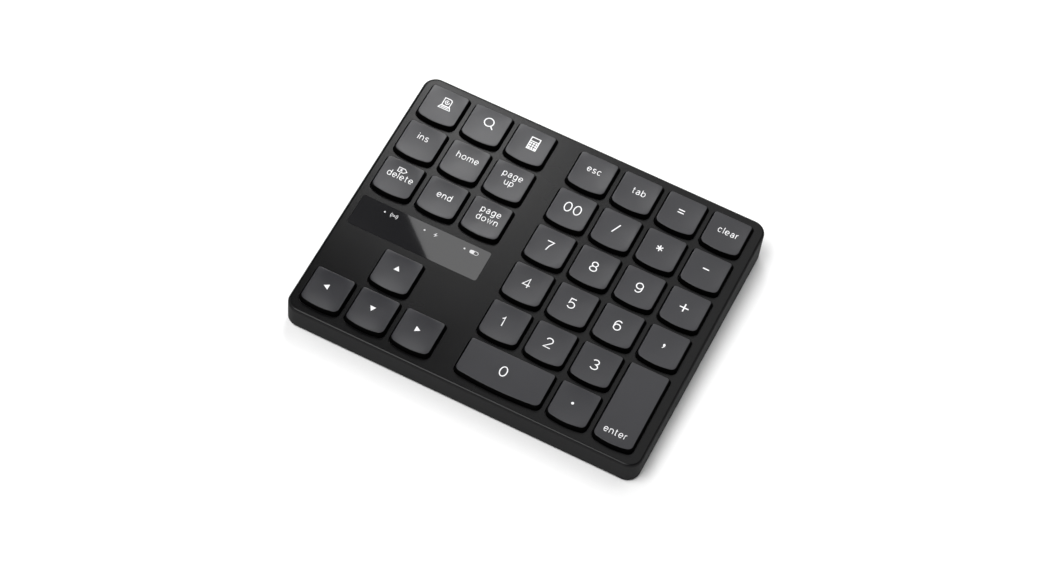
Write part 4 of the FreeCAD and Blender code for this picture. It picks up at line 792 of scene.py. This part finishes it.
def build_dome(name):
    """A hollow rubber dome standing on the sheet under its key."""
    sheet = bmesh.new()
    place, _, _ = key_frame_of(f"key_{name}")
    outside = [
        ring(sheet, circle(0, 0, radius, DOME_SIDES), height)
        for radius, height in DOME_OUTSIDE + DOME_CROWN
    ]
    inside = [ring(sheet, circle(0, 0, radius, DOME_SIDES), height) for radius, height in DOME_INSIDE]
    for skin in (outside, inside):
        for lower, upper in zip(skin, skin[1:]):
            bridge(sheet, lower, upper)
    bridge(sheet, inside[-1], outside[0])
    sheet.faces.new(outside[-1])
    sheet.faces.new(inside[0])
    dome = mesh_piece(f"dome_{name}", sheet, place, DOME_RUBBER, "case")
    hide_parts("dome_sheet")
    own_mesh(dome)


def build_dome_sheet():
    """The sheet that the domes stand on, with the solid's holes and slot."""
    sheet = bmesh.new()
    sheet.from_mesh(frame["nodes"]["dome_sheet"].data)
    top = DECK @ Vector((0, 0, -SHEET_TOP * MM))
    bmesh.ops.bisect_plane(
        sheet, geom=[*sheet.verts, *sheet.edges, *sheet.faces], dist=0.000002,
        plane_co=top, plane_no=-press, clear_outer=True,
    )
    sheet.transform((DECK @ Matrix.Scale(MM, 4)).inverted())
    piece = mesh_piece("dome_web", sheet, DECK, DOME_RUBBER, "case", smooth=False)
    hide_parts("dome_sheet")


for key_name in LEGENDS:
    build_dome(key_name)
build_dome_sheet()


# ---------------------------------------------------------------- indicator window


LAMP_ROW = 3.95
LAMP_LEFT = -16.9
LAMP_PITCH = 17.1


def lamp_marks():
    """Three lamp dots, with signs for the radio link, the supply and the cell."""
    ink = Ink()
    row = LAMP_ROW
    for number in range(3):
        ink.disc(LAMP_LEFT + LAMP_PITCH * number, row, 0.36, 14)
    link = LAMP_LEFT + 4.0
    ink.disc(link, row, 0.34, 12)
    for reach in (0.85, 1.45):
        ink.stroke(oval(link, row, reach, reach, -45, 45), 0.24)
        ink.stroke(oval(link, row, reach, reach, 135, 225), 0.24)
    bolt = LAMP_LEFT + LAMP_PITCH + 4.7
    ink.polygon([(bolt - 0.9, row - 0.15), (bolt + 0.35, row + 1.05), (bolt + 0.05, row + 0.1)])
    ink.polygon([(bolt + 0.9, row + 0.15), (bolt - 0.35, row - 1.05), (bolt - 0.05, row - 0.1)])
    cell = LAMP_LEFT + 2 * LAMP_PITCH + 4.0
    right_end = oval(cell + 1.0, row, 0.72, 0.72, -90, 90)
    left_end = oval(cell - 1.0, row, 0.72, 0.72, 90, 270)
    ink.stroke([*right_end, *left_end, right_end[0]], 0.22)
    charge_end = [(cell + 0.1, row - 0.6), (cell + 0.1, row + 0.6)]
    ink.polygon([*oval(cell - 1.0, row, 0.6, 0.6, 90, 270), *charge_end])
    return ink


print_on(lamp_marks(), "window_marks", DECK, lambda x, y: 0.0, WINDOW_INK, "case")


# ---------------------------------------------------------------- floor, lights and camera

AZIMUTH = math.radians(18.45)
ELEVATION = math.radians(56.31)
ROLL = math.radians(9.23)
DISTANCE = 1.1209
AIM = Vector((0.00135, -0.00652, 0.0))
LENS = 101.3
SENSOR = 36.0
FLOOR_REACH = 6.0
FLOOR_GAP = 0.0002
WORLD_STRENGTH = 0.04
PANEL_HEIGHT = 0.45

# Where the front edge of the rear panel mirrors across the window, at its top and its bottom.
SHINE_EDGE = ((-48.4, -2.95), (-31.4, -17.95))
REAR_PANEL = {"reach": 0.45, "depth": 0.5, "power": 2.6}
REAR_LEFT_PANEL = {"edge": ((-100, 18), (-22, 18)), "depth": 0.14, "power": 0.75}

# Each soft light: its place, its side, and its power in watts.
SOFT_LIGHTS = {
    "left_fill": ((-1.1, -0.05, 0.95), 0.9, 3.5),
    "overhead": ((-0.36, -0.55, 1.5), 0.9, 24),
}

middle = (cad_low + cad_high) / 2
TOWARDS_CAMERA = Vector((
    math.sin(AZIMUTH) * math.cos(ELEVATION),
    -math.cos(AZIMUTH) * math.cos(ELEVATION),
    math.sin(ELEVATION),
))
CAMERA_PLACE = middle + AIM + TOWARDS_CAMERA * DISTANCE
DECK_MIDDLE = deck_at(0, 0)


def studio_floor():
    data = bpy.data.meshes.new("studio_floor")
    signs = [(-1, -1), (1, -1), (1, 1), (-1, 1)]
    height = cad_low.z - FLOOR_GAP
    data.from_pydata([(x * FLOOR_REACH, y * FLOOR_REACH, height) for x, y in signs], [], [(0, 1, 2, 3)])
    floor = bpy.data.objects.new("studio_floor", data)
    bpy.context.scene.collection.objects.link(floor)
    material, nodes, links, bsdf = new_material("studio_paper")
    cloud = noise(nodes, links, 4.0, 2.0).outputs["Fac"]
    links.new(ramp(nodes, links, cloud, (0.90, 0.90, 0.90), (0.92, 0.92, 0.92)), bsdf.inputs["Base Color"])
    bsdf.inputs["Roughness"].default_value = 0.9
    paint(floor, material)


def rectangle_light(name, width, depth, power):
    data = bpy.data.lights.new(name, "AREA")
    data.shape = "RECTANGLE"
    data.size = width
    data.size_y = depth
    data.energy = power
    light = bpy.data.objects.new(name, data)
    bpy.context.scene.collection.objects.link(light)
    return light


def soft_light(name, place, side, power):
    """A square light that faces the object."""
    light = rectangle_light(name, side, side, power)
    light.location = place
    light.rotation_mode = "QUATERNION"
    light.rotation_quaternion = (middle - Vector(place)).to_track_quat("-Z", "Y")


def reflected(x, y, height):
    """The point, a height over the deck, that the camera sees mirrored in the deck at x, y."""
    start = DECK_MIDDLE @ Vector((x * MM, y * MM, 0))
    sight = (CAMERA_PLACE - start).normalized()
    up = DECK_MIDDLE.to_3x3() @ Vector((0, 0, 1))
    mirrored = 2 * up.dot(sight) * up - sight
    return start + mirrored * (height / mirrored.z)


def panel_light(name, first, second, depth, power):
    """A flat panel whose front edge runs from one point to another, lying level and facing down."""
    edge = second - first
    along = edge.normalized()
    back = Vector((0, 0, 1)).cross(along)
    centre = (first + second) / 2 + back * depth / 2
    light = rectangle_light(name, edge.length, depth, power)
    light.matrix_world = Matrix((
        (along.x, back.x, 0, centre.x),
        (along.y, back.y, 0, centre.y),
        (0, 0, 1, first.z),
        (0, 0, 0, 1),
    ))


def studio_lights():
    world = bpy.data.worlds.new("studio")
    world.use_nodes = True
    background = world.node_tree.nodes["Background"]
    background.inputs["Color"].default_value = (1, 1, 1, 1)
    background.inputs["Strength"].default_value = WORLD_STRENGTH
    bpy.context.scene.world = world
    upper, lower = [reflected(x, y, PANEL_HEIGHT) for x, y in SHINE_EDGE]
    reach = (lower - upper).normalized() * REAR_PANEL["reach"]
    edge_middle = (upper + lower) / 2
    panel_light(
        "rear_panel", edge_middle - reach, edge_middle + reach, REAR_PANEL["depth"], REAR_PANEL["power"]
    )
    left, right = [reflected(x, y, PANEL_HEIGHT) for x, y in REAR_LEFT_PANEL["edge"]]
    panel_light("rear_left", left, right, REAR_LEFT_PANEL["depth"], REAR_LEFT_PANEL["power"])
    for name, (place, side, power) in SOFT_LIGHTS.items():
        soft_light(name, place, side, power)


def photo_camera():
    data = bpy.data.cameras.new("camera")
    data.lens = LENS
    data.sensor_width = SENSOR
    data.clip_start = 0.05
    data.clip_end = 50.0
    camera = bpy.data.objects.new("camera", data)
    camera.location = CAMERA_PLACE
    level = (-TOWARDS_CAMERA).to_track_quat("-Z", "Y")
    camera.rotation_mode = "QUATERNION"
    camera.rotation_quaternion = level @ Matrix.Rotation(ROLL, 4, "Z").to_quaternion()
    bpy.context.scene.collection.objects.link(camera)
    bpy.context.scene.camera = camera


studio_floor()
studio_lights()
photo_camera()
bpy.context.scene.view_settings.view_transform = "Standard"
bpy.context.scene.view_settings.look = "None"
